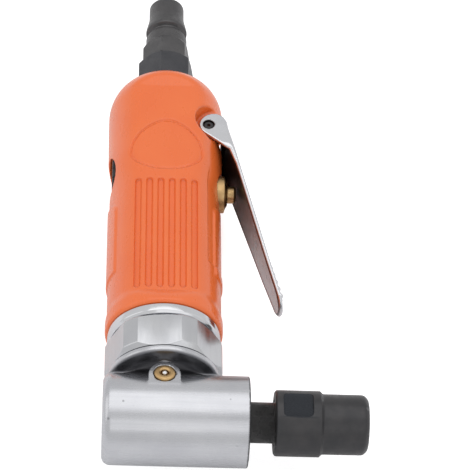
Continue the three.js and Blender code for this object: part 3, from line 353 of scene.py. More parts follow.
def makeFinish(name, changes):
    look = Settings({**plainLook, **changes})
    material = bpy.data.materials.new(name)
    material.use_nodes = True
    tree = material.node_tree
    at = addNode(tree, "ShaderNodeTexCoord").outputs["Object"]

    def where(perMm):
        return addNode(tree, "ShaderNodeMapping", Vector=at, Scale=np.broadcast_to(perMm, 3) / mm).outputs[0]

    def added(value, pattern, amount):
        return calc(tree, "ADD", value, calc(tree, "MULTIPLY", pattern, amount))

    # soft variation of colour over the piece
    cloud = between(tree, noise(tree, where(look.cloud), 3), *look.cloudSpan, 0, 1)
    color = blendColor(tree, cloud, look.color, look.tint)
    # streaks, which also steer the roughness
    streak = noise(tree, where(look.streak), 5, 0.6)
    rough = between(tree, streak, *look.streakSpan, *look.rough)
    height = calc(tree, "MULTIPLY", streak, look.streakDepth)
    if "streakTint" in look:
        share = between(tree, streak, *look.streakSpan, 0, look.streakShow)
        color = blendColor(tree, share, color, look.streakTint)
    height = added(height, noise(tree, where(look.grain), 2, 0.5), look.grainDepth)
    if "rings" in look:
        axis, perMm, depth = look.rings
        wave = addNode(tree, "ShaderNodeTexWave", bands_direction=axis, Vector=where(1), Scale=perMm,
                       Distortion=look.ringWander, Detail=2).outputs["Fac"]
        height = added(height, wave, depth)
        rough = calc(tree, "ADD", rough, between(tree, wave, 0, 1, -look.ringRough, look.ringRough))
    if "weave" in look:
        perMm, depth = look.weave
        cloth = where(1)
        waves = [addNode(tree, "ShaderNodeTexWave", bands_direction=axis, Vector=cloth, Scale=perMm)
                 for axis in "YZ"]
        both = calc(tree, "MULTIPLY", *(wave.outputs["Fac"] for wave in waves))
        height = added(height, both, depth)
        color = blendColor(tree, between(tree, both, 0, 1, 0, look.weaveShow), color, look.weaveTint)
    if "pits" in look:
        perMm, size = look.pits
        cells = addNode(tree, "ShaderNodeTexVoronoi", Vector=where(perMm), Scale=1)
        pit = between(tree, cells.outputs["Distance"], size, size * look.pitFade, 1, 0)
        color = blendColor(tree, calc(tree, "MULTIPLY", pit, look.pitShow), color, look.pitColor)
        height = calc(tree, "SUBTRACT", height, pit)
    # edges wear bright, hollows darken with dirt and painted shade
    shape = addNode(tree, "ShaderNodeNewGeometry").outputs["Pointiness"]
    if "worn" in look:
        patches = noise(tree, where(look.patches), 4)
        patchy = between(tree, patches, *look.patchSpan, look.patchLow, 1)
        edge = calc(tree, "MULTIPLY", between(tree, shape, *look.wornFrom, 0, 1), patchy)
        color = blendColor(tree, calc(tree, "MULTIPLY", edge, look.wornShow), color, look.worn)
    if "dirt" in look:
        color = blendColor(tree, between(tree, shape, *look.dirtFrom, 0, look.dirtShow), color, look.dirt)
    # marked points take their own colour and roughness; on the head and the lever this colour is painted shade
    if "marked" in look:
        mark = addNode(tree, "ShaderNodeAttribute", attribute_name=look.marked).outputs["Fac"]
        color = blendColor(tree, mark, color, look.markedColor)
        rough = added(rough, mark, look.markedRough)
    bump = addNode(tree, "ShaderNodeBump", Height=height, Strength=look.bump, Distance=look.bumpHeight * mm)
    surface = {"Base Color": color, "Roughness": rough, "Normal": bump.outputs[0], "Metallic": look.metal,
               "Coat Weight": look.coat, "Coat Roughness": look.coatRough, "Sheen Weight": look.sheen}
    shader = tree.nodes["Principled BSDF"]
    feed(tree, [shader.inputs[key] for key in surface], surface.values())
    finishes[name] = material


looks = {
    "cast_alloy": dict(
        color=(0.62, 0.625, 0.65), tint=(0.57, 0.575, 0.605), metal=1, rough=(0.2, 0.34), cloud=0.12,
        streak=(0.03, 0.9, 0.9), streakDepth=0.6, streakTint=(0.52, 0.525, 0.55), streakShow=0.4,
        grain=(1.6, 3.5, 3.5), grainDepth=0.35, bump=0.22, pits=(0.16, 0.045),
        pitColor=(0.16, 0.16, 0.17), worn=(0.92, 0.92, 0.94), wornShow=0.4, dirt=(0.32, 0.32, 0.34),
        dirtShow=0.35,
    ),
    "chrome": dict(
        color=(0.72, 0.725, 0.745), tint=(0.67, 0.675, 0.7), metal=1, rough=(0.1, 0.19), cloud=0.1,
        streak=(0.9, 0.9, 0.12), streakDepth=0.25, grain=4, grainDepth=0.15, bump=0.12,
        worn=(0.9, 0.9, 0.92), wornShow=0.35, dirt=(0.3, 0.3, 0.32), dirtShow=0.3,
    ),
    # this dirt colour is mostly painted shade in the ribs and grooves
    "orange_cover": dict(
        color=(0.87, 0.17, 0.036), tint=(0.85, 0.155, 0.031), rough=(0.24, 0.33), cloud=0.06,
        streak=(0.25, 0.1, 0.25), streakDepth=0.12, grain=3.2, grainDepth=0.2, bump=0.07,
        coat=0.3, worn=(0.9, 0.33, 0.17), wornShow=0.25, dirt=(0.45, 0.065, 0.015), dirtShow=0.7,
    ),
    "black_steel": dict(
        color=(0.052, 0.052, 0.055), tint=(0.066, 0.064, 0.066), metal=0.75, rough=(0.34, 0.46),
        cloud=0.2, streak=0.5, streakDepth=0.25, rings=("X", 5, 0.35), bump=0.25,
        grain=5, worn=(0.3, 0.3, 0.31), wornShow=0.45, dirt=(0.02, 0.02, 0.02),
    ),
    "brass": dict(
        color=(0.62, 0.42, 0.2), tint=(0.52, 0.34, 0.16), metal=1, rough=(0.24, 0.4), cloud=0.3,
        streak=0.6, rings=("X", 6, 0.3), bump=0.25, worn=(0.8, 0.62, 0.36),
        dirt=(0.16, 0.09, 0.04), dirtShow=0.6,
    ),
    "bearing_steel": dict(
        color=(0.6, 0.61, 0.63), tint=(0.55, 0.56, 0.58), metal=1, rough=(0.12, 0.22),
        streak=0.8, rings=("Y", 9, 0.15), bump=0.12, worn=(0.8, 0.8, 0.82),
    ),
    "steel": dict(
        color=(0.5, 0.51, 0.53), tint=(0.44, 0.45, 0.47), metal=1, rough=(0.26, 0.4),
        streak=(0.6, 0.2, 0.6), rings=("Y", 4, 0.3), bump=0.25, worn=(0.72, 0.72, 0.74),
        dirt=(0.12, 0.1, 0.08),
    ),
    "vane": dict(
        color=(0.2, 0.095, 0.045), tint=(0.16, 0.075, 0.035), rough=(0.55, 0.7), weave=(1.6, 0.5),
        weaveTint=(0.3, 0.16, 0.08), bump=0.35, worn=(0.34, 0.2, 0.11),
    ),
    "rubber": dict(
        color=(0.016, 0.016, 0.018), tint=(0.022, 0.022, 0.023), rough=(0.6, 0.78), grain=6,
        bump=0.3, worn=(0.06, 0.06, 0.06), dirt=(0.05, 0.045, 0.04),
    ),
    "felt": dict(
        color=(0.27, 0.25, 0.21), tint=(0.2, 0.185, 0.155), rough=(0.85, 1), cloud=0.5,
        grain=4.5, grainDepth=1.2, streak=2.2, streakDepth=1, bump=0.9, sheen=0.3,
        dirt=(0.08, 0.07, 0.06),
    ),
}
# the same finishes with their colours, streaks or marks laid for one piece
pieceLooks = {
    "black_hose_end": dict(
        like="black_steel", color=(0.1, 0.098, 0.1), tint=(0.12, 0.117, 0.118), metal=0.92,
        rings=("Y", 4, 0.35), rough=(0.26, 0.4), wornShow=0.7,
    ),
    "black_bushing": dict(
        like="black_steel", color=(0.072, 0.073, 0.08), tint=(0.086, 0.086, 0.092), metal=0.9,
        rings=("Y", 4, 0.35), rough=(0.28, 0.42), wornShow=0.6,
    ),
    "black_spindle": dict(
        like="black_steel", color=(0.12, 0.118, 0.118), tint=(0.1, 0.098, 0.098), metal=0.9,
        rings=("X", 2.6, 1.2), rough=(0.26, 0.38), bump=0.5,
    ),
    "black_collet_nut": dict(
        like="black_steel", rough=(0.3, 0.42), marked="onFlat", markedColor=(0.028, 0.031, 0.037),
        markedRough=-0.06,
    ),
    "chrome_nut": dict(
        like="chrome", color=(0.62, 0.625, 0.64), tint=(0.57, 0.575, 0.6), rough=(0.16, 0.27),
        streak=(0.9, 0.08, 0.9), streakDepth=0.6, streakTint=(0.52, 0.53, 0.55), streakShow=0.4,
        bump=0.16,
    ),
    # the head's marked colour is painted shade on the neck, over its as-cast finish
    "cast_head": dict(
        like="cast_alloy", marked="asCastPaintedShade", markedColor=(0.055, 0.055, 0.06), markedRough=0.12,
    ),
    # the lever's marked colour is painted shade on its hollow side, cut edges and pin holes
    "lever_chrome": dict(
        like="chrome", rough=(0.13, 0.24), streak=(0.12, 0.5, 0.5), cloud=0.07, marked="paintedLeverShade",
        markedColor=(0.06, 0.052, 0.05), markedRough=0.25,
    ),
}
for name, look in looks.items():
    makeFinish(name, look)
for name, look in pieceLooks.items():
    makeFinish(name, {**looks[look["like"]], **look})
print("finishes made,", len(finishes))


# The head casting: a barrel on the spindle axis, a flanged neck, and a small arched pad for the grease
# fitting.
head = Settings(
    edge=2.4, mouth=0.5, neck=10.2, neckStart=2.5, flange=15.5, flangeDepth=1.9, flangeRound=0.9,
    flangeEdge=0.35, neckFillet=2.2, rootFillet=1.6, spigot=4.2, spigotRadius=13.08, spigotRoot=1,
    padWidth=8.8, padFrom=0.2, padLength=5.4, padTilt=8, padSink=0.4, padFade=2.2, padEdge=0.3,
    padFillet=0.5, wellRadius=3.05, wellDepth=0.6, stemRadius=2.35, stemDepth=2.5, boreGap=0.1,
    boreFloor=0.3, boreEdge=0.12, cutRound=0.2, cell=0.36, castReach=1.0, castLip=1.6, blackMouth=0.4,
)
# where the as-cast finish and its painted shade fade in, in millimetres past each border
castShadeFade = Settings(
    barrel=(0.1, 0.9), neck=(-0.6, 0.8), root=(2, 4), pad=(0.1, 0.35), lip=(-0.4, 0.6), mouth=0.15,
)
headLow, headHigh = extent("angle_head")
barrelRadius = -headLow[1]
neckTop = headHigh[1] - head.spigot
raceNames = [side + "_bearing_outer_race" for side in ("spindle_rear", "spindle_front", "pinion_front")]
rearRace, frontRace, neckRace = (extent(name)[1] for name in raceNames)
boreStart = span("spindle_rear_bearing_outer_race", 0)[0] - head.boreFloor


def padShape(x, y, z):
    # the pad leans back towards the handle
    s = head
    v, w = turned(y, z, s.padTilt)
    top = s.padFrom + s.padLength
    out = np.hypot(x, v - top)
    arch = np.where(v > top, out, np.abs(x)) - s.padWidth / 2
    sink = s.padSink * ramp(s.padFade - v, 0, s.padFade)
    pad = softMax(softMax(arch, w - barrelRadius + sink, s.padEdge), -w, s.cutRound)
    return softMax(pad, s.padFrom - v, s.cutRound), out, w


def barrelShape(x, across):
    body = rodDistance(across, x, barrelRadius, headLow[0], headHigh[0] + head.edge, head.edge)
    return softMax(body, x - headHigh[0], head.mouth)


def headShape(x, y, z):
    s = head
    across, around = np.hypot(y, z), np.hypot(x, z)
    flange = softMax(around - s.flange, neckTop - s.flangeDepth - y, s.flangeRound)
    neck = softMin(around - s.neck, flange, s.neckFillet)
    neck = softMax(softMax(neck, y - neckTop, s.flangeEdge), -y, s.cutRound)
    spigot = allOf(around - s.spigotRadius, y - headHigh[1], neckTop - s.spigotRoot - y)
    neck = anyOf(neck, spigot)
    body = softMin(barrelShape(x, across), neck, s.rootFillet)
    pad, out, w = padShape(x, y, z)
    body = softMin(body, pad, s.padFillet)
    bores = anyOf(
        allOf(across - rearRace[2] - s.boreGap, boreStart - x),
        allOf(across - frontRace[2] - s.boreGap, rearRace[0] - x),
        allOf(around - neckRace[2] - s.boreGap, s.neckStart - y))
    well = anyOf(
        allOf(out - s.wellRadius, barrelRadius - s.wellDepth - w),
        allOf(out - s.stemRadius, barrelRadius - s.stemDepth - w))
    return softMax(softMax(body, -bores, s.boreEdge), -well, s.boreEdge)


def asCastAndPaintedShade(x, y, z):
    # 1 on the neck, whose as-cast finish is darkened with painted shade, and on the mouth's face, which is
    # darkened, and 0 on the ground barrel, pad and lip
    s, fade = head, castShadeFade
    offBarrel = ramp(barrelShape(x, np.hypot(y, z)), *fade.barrel)
    byNeck = ramp(s.castReach + s.neck - np.hypot(x, z), *fade.neck) * ramp(y, *fade.root)
    offPad = ramp(padShape(x, y, z)[0], *fade.pad)
    rawNeck = np.maximum(offBarrel, byNeck) * offPad * ramp(neckTop - s.castLip - y, *fade.lip)
    mouth = headHigh[0] - s.blackMouth
    return np.maximum(rawNeck, ramp(x, mouth, mouth + fade.mouth))


obj = moulded("head_casting", headShape, headLow, headHigh, [head.cell] * 3)
# the head's mark paints shade onto its as-cast neck
markPoints(obj, "asCastPaintedShade", asCastAndPaintedShade)
fit(obj, "angle_head", finish="cast_head")
print("head done,", len(obj.data.polygons), "faces")


# The clamp nut, a hexagon whose corners are turned down to wide round lands.
nut = Settings(
    corner=24, flatShare=0.93, faceChamfer=1.1, bevel=2.6, bore=13.2, boreChamfer=0.3, edge=0.22,
    crisp=0.12, rearChamfer=0.55, landEase=0.5,
)
nutLow, nutHigh = extent("clamp_nut")
nutRadius = max(nutHigh[0], nutHigh[2])
nutAcross = 2 * nutRadius * nut.flatShare
nutCorner = nutAcross / 2 / math.cos(math.pi / 6)
landHalf = 30 - math.degrees(math.acos(nut.flatShare))


def nutCorners(angle):
    s = nut
    reach = min(nutRadius, hexRadius(angle, nutAcross, s.corner))
    face = nutRadius - s.faceChamfer
    slope = s.bevel / (nutCorner - face)
    front = nutLow[1] + max(s.crisp, slope * (reach - face))
    rear = nutHigh[1] - s.rearChamfer * (reach - face) / (nutRadius - face) - s.crisp
    return [
        (s.bore, nutHigh[1] - s.boreChamfer), (s.bore, nutLow[1] + s.boreChamfer),
        (s.bore + s.boreChamfer, nutLow[1]), (min(face, reach), nutLow[1], s.crisp),
        (reach, front, s.edge), (reach, rear, s.edge), (reach - s.rearChamfer, nutHigh[1], s.crisp),
        (s.bore + s.boreChamfer, nutHigh[1]),
    ]


landEdges = [nut.corner + 60 * k + sign * (landHalf + ease * nut.landEase)
             for k in range(6) for sign in (-1, 1) for ease in (-1, 0, 1)]
obj = spin("clamp_nut_ground", nutCorners, evenAngles(180, landEdges), closed=True, sharpAngle=12)
fit(obj, "clamp_nut", finish="chrome_nut")

# The plain ring behind it.
ring = Settings(chamfer=0.7, edge=0.2, gap=0.1)
ringLow, ringHigh = extent("front_ring")
housingRadius = extent("motor_housing")[1][2]
ringBore = housingRadius + ring.gap
ringCorners = [
    (ringBore, ringLow[1]), (ringHigh[0] - ring.chamfer, ringLow[1], ring.edge),
    (ringHigh[0], ringLow[1] + ring.chamfer, ring.edge), (ringHigh[0], ringHigh[1], ring.edge),
    (ringBore, ringHigh[1]),
]
fit(spin("front_ring_polished", ringCorners, evenAngles(160), closed=True), "front_ring")
print("clamp nut and ring done")


# The grip sleeve: a moulded cover with a flat top, a thumb rest, ribs, bare side panels and the pockets,
# window and holes that the lever, valve and regulator need.
sleeve = Settings(
    lip=15.9, lipLength=1.1, front=16.5, bandEnd=32.1, bandTaper=3.6, waist=16.05, waistEnd=77,
    gripStart=88, grip=16.6, rear=16.8, shoulder=11.5, shoulderDrop=9, flatHeight=14.1, flatStart=34.2,
    flatEnd=111.5, frontSlope=0.75, rearSlope=0.37, flatEdge=1.6, thumbWidth=20.8, thumbLength=19.4,
    thumbAt=88.4, thumbDepth=0.3, thumbTuck=0.26, thumbLeast=0.3, thumbPower=2.4, thumbFade=(-0.1, 1.3),
    groove=0.42, grooveAt=0.45, grooveWall=0.36, ribs=6, ribPitch=3.2, ribWidth=1.85, ribDepth=0.75,
    ribStart=35.4, ribEnd=75.4, ribWall=0.36, panelStart=45, panelEnd=72.4, panelHalf=8.2, panelArch=4.5,
    panelRaise=0.45, panelWall=(-0.2, 0.45), panelFade=(8, 11), troughStart=47.5, troughEnd=84,
    troughHalf=10.6, troughDepth=0.3, troughWall=(-0.25, 0.35), troughFade=(4, 8), troughRise=0.8,
    troughRun=6, wall=2.2, mouth=7.3, housingStep=93.2, housingRear=12.2, housingFlat=12.4,
    housingGap=0.1, pocketFloor=8.9, pocketRadius=6.4, pocketAt=14.6, pocketRound=0.9, lugHalf=6.3,
    lugLength=4.6, lugFloor=7, valveHole=5.7, windowAt=84.6, windowLength=7.0, windowHeight=7.3,
    dialRecess=6.75, recessFloor=-15.8, lipEdge=0.15, lipClear=4, frontEdge=0.2,
    edges=Settings(room=0.12, pocket=0.5, lug=0.2, valve=0.3, window=0.45, recess=0.15),
    cell=(0.32, 0.5, 0.36),
)
sleeveLow, sleeveHigh = extent("grip_sleeve")
pivotX, pivotY = jointAt("lever_press")[:2]
dialAt = jointAt("regulator_turn")[1]
valveAt = sum(span("throttle_stem", 1)) / 2


def ribShape(x, y):
    s = sleeve
    middle = (s.ribs - 1) / 2
    slot = np.clip(np.round(x / s.ribPitch + middle), 0, s.ribs - 1) - middle
    side = np.abs(x - slot * s.ribPitch)
    half = s.ribWidth / 2
    past = allOf(s.ribStart + half - y, y - s.ribEnd + half, 0)
    return s.ribDepth * ramp(half - np.hypot(side, past), -s.ribWall / 2, s.ribWall)


def thumbShape(x, y):
    # an egg that narrows towards the hose end, with a groove just inside its border
    s = sleeve
    along = (y - s.thumbAt) / (s.thumbLength / 2)
    tuck = 1 - s.thumbTuck * along - s.thumbTuck * along * along
    side = np.abs(x) / (s.thumbWidth / 2 * np.maximum(tuck, s.thumbLeast))
    power = s.thumbPower
    egg = ((side ** power + np.abs(along) ** power) ** (1 / power) - 1) * s.thumbWidth / 2
    groove = s.groove * np.exp(-((egg + s.grooveAt) / s.grooveWall) ** 2)
    return s.thumbDepth * ramp(-egg, *s.thumbFade) + groove


def panelShape(y, z):
    s = sleeve
    mid = s.panelEnd - s.panelArch
    arch = (np.hypot(np.maximum(y - mid, 0) / s.panelArch, z / s.panelHalf) - 1) * s.panelArch
    flat = allOf(np.abs(z) - s.panelHalf, s.panelStart - y)
    return s.panelRaise * ramp(-np.where(y > mid, arch, flat), *s.panelWall)


def coverShape(x, y, z):
    # the outside, before anything is cut into it
    s = sleeve
    around, height = np.hypot(x, z), np.abs(z)
    radius = s.front + (s.waist - s.front) * ramp(y, s.bandEnd, s.bandEnd + s.bandTaper)
    radius = radius + (s.grip - s.waist) * ramp(y, s.waistEnd, s.gripStart)
    radius = radius + (s.rear - s.grip) * ramp(y, s.gripStart, sleeveHigh[1] - s.shoulder)
    trough = ramp(y, s.troughStart, s.troughStart + s.troughRise)
    trough = trough * ramp(s.troughHalf - height, *s.troughWall)
    trough = trough * ramp(x, *s.troughFade) * ramp(s.troughEnd - y, 0, s.troughRun)
    radius = radius - s.troughDepth * trough
    radius = radius + panelShape(y, z) * ramp(np.abs(x), *s.panelFade)
    drop = s.shoulderDrop
    up = np.maximum(around - radius + drop, 0) / drop
    back = np.maximum(y - sleeveHigh[1] + s.shoulder, 0) / s.shoulder
    body = np.where((up > 0) | (back > 0), (np.hypot(up, back) - 1) * drop, -drop)
    rise = 1 - (1 - np.clip((y - sleeveLow[1]) / s.lipLength, 0, 1)) ** 2
    lip = s.lip + (s.front - s.lip) * rise + np.where(y > sleeveLow[1] + s.lipLength, s.lipClear, 0)
    body = softMax(body, around - lip, s.lipEdge)
    roof = s.flatHeight + s.frontSlope * np.maximum(s.flatStart - y, 0)
    roof = roof + s.rearSlope * np.maximum(y - s.flatEnd, 0)
    body = softMax(body, height - roof, s.flatEdge)
    body = body + np.where(z > 0, thumbShape(x, y) + ribShape(x, y), 0)
    return softMax(body, sleeveLow[1] - y, s.frontEdge)


def sleeveShape(x, y, z):
    s = sleeve
    around, height = np.hypot(x, z), np.abs(z)
    # the room for the motor housing inside, and the mouth at the hose end
    inner = np.where(y < s.housingStep, housingRadius, s.housingRear) + s.housingGap
    room = allOf(around - inner, height - s.housingFlat - s.housingGap, y - sleeveHigh[1] + s.wall)
    room = anyOf(room, around - s.mouth)
    # pockets for the lever's two ears, open towards the lever
    px, py = x - s.pocketAt, y - pivotY
    lane = allOf(py - s.pocketRadius, -py - s.pocketRadius - px)
    pocket = np.where(px > 0, lane, np.hypot(px, py) - s.pocketRadius)
    pocket = softMax(pocket, s.pocketFloor - height, s.pocketRound)
    lug = allOf(height - s.lugHalf, np.abs(py) - s.lugLength, s.lugFloor - x)
    valve = allOf(np.hypot(y - valveAt, z) - s.valveHole, -x)
    window = np.hypot((y - s.windowAt) / s.windowLength, z / s.windowHeight) - 1
    window = allOf(window * s.windowLength, x)
    recess = allOf(np.hypot(y - dialAt, z) - s.dialRecess, s.recessFloor - x, x)
    body = coverShape(x, y, z)
    for cut, edge in zip((room, pocket, lug, valve, window, recess), s.edges.values()):
        body = softMax(body, -cut, edge)
    return body


obj = moulded("grip_cover", sleeveShape, sleeveLow, sleeveHigh, sleeve.cell)
fit(obj, "grip_sleeve")
print("sleeve done,", len(obj.data.polygons), "faces")


# The throttle lever, pressed from sheet: a back plate, a flange down each side, two ears and a rounded tip
# with pressed grip bumps.
lever = Settings(
    sheet=1.3, backTop=(18.2, 99.0), bend=(29.6, 54.0), tip=(33.8, 38.2), flange=1.5, flangeEnd=86.0,
    throat=(18.1, 91.0), earBack=[(16.6, 103.1), (17.7, 101.6)], earSet=1.55, earRadius=4.3, earFrom=75,
    earTo=238, earSteps=14, tipHalf=5.3, tipRound=5.0, tipSteps=11, wideUntil=91.5, cutEdge=0.3,
    outerBend=1.5, innerBend=0.5, bendFrom=(15.5, 18.5), openFrom=103.4, openUntil=30, rootThick=0.55,
    rootFrom=98.4, rootRun=1.8, pinHole=1.62, holeEdge=0.25, bumpRows=5, bumpColumns=2, bumpPitch=2.5,
    bumpStart=41.5, bumpRadius=0.85, bumpHeight=0.45, bumpSpread=1.9, bumpEdge=0.2,
    cell=(0.27, 0.36, 0.3),
)
leverLow, leverHigh = extent("throttle_lever")
beyond = Settings(low=-5, tip=20, root=120, past=2)  # where the open sides of the outlines lie


def backLine(inset):
    return [(x - inset, y) for x, y in (lever.backTop, lever.bend, lever.tip)]


def sideOutline():
    s = lever
    centre, ear = pivotX + s.earSet, []
    for k in range(s.earSteps + 1):
        a = math.radians(s.earTo + (s.earFrom - s.earTo) * k / s.earSteps)
        ear.append((centre + s.earRadius * math.cos(a), pivotY + s.earRadius * math.sin(a)))
    (topX, topY), (bendX, bendY) = s.backTop, s.bend
    endX = topX + (bendX - topX) * (topY - s.flangeEnd) / (topY - bendY) - s.flange
    free = [*backLine(s.flange)[::-1][:2], (endX, s.flangeEnd)]
    return [*backLine(0), *free, s.throat, *ear, *s.earBack]


def planOutline(inset):
    s = lever
    wide, narrow, end = leverHigh[2] - inset, s.tipHalf - inset, s.tip[1] + inset
    root = leverHigh[1] + beyond.past
    line = [(root, beyond.low), (root, wide), (s.wideUntil, wide)]
    for k in range(s.tipSteps + 1):
        a = math.pi / 2 * k / s.tipSteps
        line.append((end + s.tipRound * (1 - math.sin(a)), narrow * math.cos(a)))
    return [*line, (end, beyond.low)]


def hollowOutline():
    s = lever
    top, bend, tip = backLine(s.sheet)
    rootX, rootY = top[0] - s.rootThick, s.rootFrom
    joinY = rootY - s.rootRun
    joinX = top[0] + (bend[0] - top[0]) * (top[1] - joinY) / (top[1] - bend[1])
    root = [(beyond.low, beyond.root), (rootX, beyond.root), (rootX, rootY), (joinX, joinY)]
    return [*root, bend, tip, (tip[0], beyond.tip), (beyond.low, beyond.tip)]


sideLine, hollowLine = sideOutline(), hollowOutline()
planLine, innerPlan = planOutline(0), planOutline(lever.sheet)


def leverHollow(x, y, height):
    s = lever
    inner = softMax(outlineDistance(x, y, hollowLine), outlineDistance(y, height, innerPlan), s.innerBend)
    return anyOf(inner, allOf(height - leverHigh[2] + s.sheet, s.openFrom - y, x - s.openUntil))


def leverShape(x, y, z):
    s = lever
    height = np.abs(z)
    # round where the sheet is bent over, and crisp along the ears' cut edges
    bend = s.cutEdge + (s.outerBend - s.cutEdge) * ramp(x, *s.bendFrom)
    outer = softMax(outlineDistance(x, y, sideLine), outlineDistance(y, height, planLine), bend)
    body = softMax(outer, -leverHollow(x, y, height), s.cutEdge)
    hole = np.hypot(x - pivotX, y - pivotY) - s.pinHole
    body = softMax(body, -hole, s.holeEdge)
    # bumps pressed out of the back plate near the tip
    slope = (s.tip[0] - s.bend[0]) / (s.bend[1] - s.tip[1])
    outside = s.tip[0] - slope * (y - s.tip[1])
    row = np.clip(np.round((y - s.bumpStart) / s.bumpPitch), 0, s.bumpRows - 1)
    column = np.clip(np.round(height / s.bumpSpread), 0, s.bumpColumns) * s.bumpSpread
    off = np.hypot(y - s.bumpStart - row * s.bumpPitch, height - column)
    bump = np.hypot(off, x - outside + s.bumpRadius - s.bumpHeight) - s.bumpRadius
    return np.where(y < s.bend[1], softMin(body, bump, s.bumpEdge), body)


# Painted shade darkens the hollow side, most of all by the valve, and the flanges' cut edges, and fills the pin
# holes.
leverShading = Settings(
    least=0.22, rise=(56, 84), reach=0.8, fade=0.45, onCut=0.8, cutWall=(-0.45, -0.2),
    cutAway=(0.15, 0.45), cutEnd=3, holeReach=0.32, holeFade=0.14,
)


def paintedLeverShade(x, y, z):
    s = leverShading
    away = leverHollow(x, y, np.abs(z))
    inner = ramp(s.reach - away, 0, s.fade) * (s.least + (1 - s.least) * ramp(y, *s.rise))
    backXs, backYs = zip(*backLine(0)[::-1])
    deep = np.interp(y, backYs, backXs) - x - lever.flange
    cut = s.onCut * ramp(deep, *s.cutWall) * ramp(away, *s.cutAway)
    cut = cut * ramp(lever.flangeEnd - y, 0, s.cutEnd)
    hole = ramp(lever.pinHole + s.holeReach - np.hypot(x - pivotX, y - pivotY), 0, s.holeFade)
    return allOf(hole, cut, inner)


obj = moulded("pressed_lever", leverShape, leverLow, leverHigh, lever.cell)
# the lever's mark is painted shade
markPoints(obj, "paintedLeverShade", paintedLeverShade)
fit(obj, "throttle_lever", finish="lever_chrome")
print("lever done,", len(obj.data.polygons), "faces")

# The lever's hollow pin stands upright through the ears and the housing.
pin = Settings(chamfer=0.25, bore=0.5, edge=0.1)
pinLow, pinHigh = extent("lever_pin")
pinRadius = (pinHigh[0] - pinLow[0]) / 2
pinEdge = pinRadius - pin.chamfer
pinCorners = [
    (pin.bore, pinLow[2], pin.edge), (pinEdge, pinLow[2], pin.edge),
    (pinRadius, pinLow[2] + pin.chamfer), (pinRadius, pinHigh[2] - pin.chamfer),
    (pinEdge, pinHigh[2], pin.edge), (pin.bore, pinHigh[2], pin.edge),
]
obj = spin("hinge_pin", pinCorners, evenAngles(40), "z", True, centre=(pivotX, pivotY, 0))
fit(obj, "lever_pin")


# The throttle valve's brass bush, stem and seal, between the sleeve and the lever.
bush = Settings(
    dome=0.6, thread=4.2, flange=3.2, gap=0.12, mouth=0.1, crisp=0.2, eased=0.25, edge=0.3, soft=0.35,
    wide=0.5, sealGap=0.1, sealStep=0.2,
)
stem = Settings(chamfer=0.6, edge=0.15)
bushLow, bushHigh = extent("throttle_bush")
stemLow, stemHigh = extent("throttle_stem")
stemRadius, bushRadius = stemHigh[2], bushHigh[2]
flangeTop = bushHigh[0] - bush.dome
flangeFrom = flangeTop - bush.flange
bushBore = stemRadius + bush.gap
bushCorners = [
    (bushBore, bushLow[0]), (bush.thread, bushLow[0], bush.edge), (bush.thread, flangeFrom),
    (bushRadius, flangeFrom, bush.crisp), (bushRadius, flangeTop - bush.edge, bush.soft),
    (bushRadius - 2 * bush.dome, flangeTop, bush.wide), (bushBore + bush.dome, bushHigh[0], bush.eased),
    (bushBore, bushHigh[0] - bush.mouth),
]
stemCorners = [
    (0, stemLow[0]), (stemRadius, stemLow[0], stem.edge),
    (stemRadius, stemHigh[0] - stem.chamfer, stem.edge),
    (stemRadius - stem.chamfer, stemHigh[0], stem.edge), (0, stemHigh[0]),
]
bushSealFrom, bushSealTo = span("bush_seal", 0)[0], flangeFrom - bush.sealGap
bushSealCorners = [
    (bush.thread + bush.sealStep, bushSealFrom), (bushRadius, bushSealFrom, bush.edge),
    (bushRadius, bushSealTo, bush.edge), (bush.thread + bush.sealStep, bushSealTo),
]
valveCentre = (0, valveAt, 0)
fit(spin("valve_bush", bushCorners, evenAngles(72), "x", True, valveCentre), "throttle_bush")
fit(spin("valve_stem", stemCorners, evenAngles(60), "x", False, valveCentre), "throttle_stem")
fit(spin("flange_seal", bushSealCorners, evenAngles(60), "x", True, valveCentre), "bush_seal")
print("pin, bush and stem done")


# The regulator in the sleeve's side window: a notched dial with a driver slot, on a grooved shank.
dial = Settings(
    radius=6.4, thickness=1.8, edge=0.35, notches=12, notch=0.45, slotHalf=0.8, slotDeep=0.9,
    slotReach=4.5, slotTurn=25, cutEdge=0.15, shank=3.9, overlap=0.5, groove=3.1, grooveAt=1.8,
    grooveHalf=0.6, cell=0.2,
)
dialLow, dialHigh = extent("regulator_dial")
dialBack = dialLow[0] + dial.thickness


def dialShape(x, y, z):
    s = dial
    y = y - dialAt
    around, turn = np.hypot(y, z), np.arctan2(z, y)
    step = math.tau / s.notches
    near = turn - np.round(turn / step) * step
    notch = np.hypot(around * np.cos(near) - s.radius, around * np.sin(near)) - s.notch
    disc = softMax(around - s.radius, allOf(dialLow[0] - x, x - dialBack), s.edge)
    disc = softMax(disc, -notch, s.cutEdge)
    groove = allOf(s.groove - around, np.abs(x - dialHigh[0] + s.grooveAt) - s.grooveHalf)
    shank = allOf(around - s.shank, dialBack - s.overlap - x, x - dialHigh[0], -groove)
    u, v = turned(y, z, -s.slotTurn)
    slot = allOf(np.abs(u) - s.slotHalf, np.abs(v) - s.slotReach, x - dialLow[0] - s.slotDeep)
    return softMax(anyOf(disc, shank), -slot, s.cutEdge)


fit(moulded("regulator", dialShape, dialLow, dialHigh, [dial.cell] * 3), "regulator_dial")
print("regulator done")


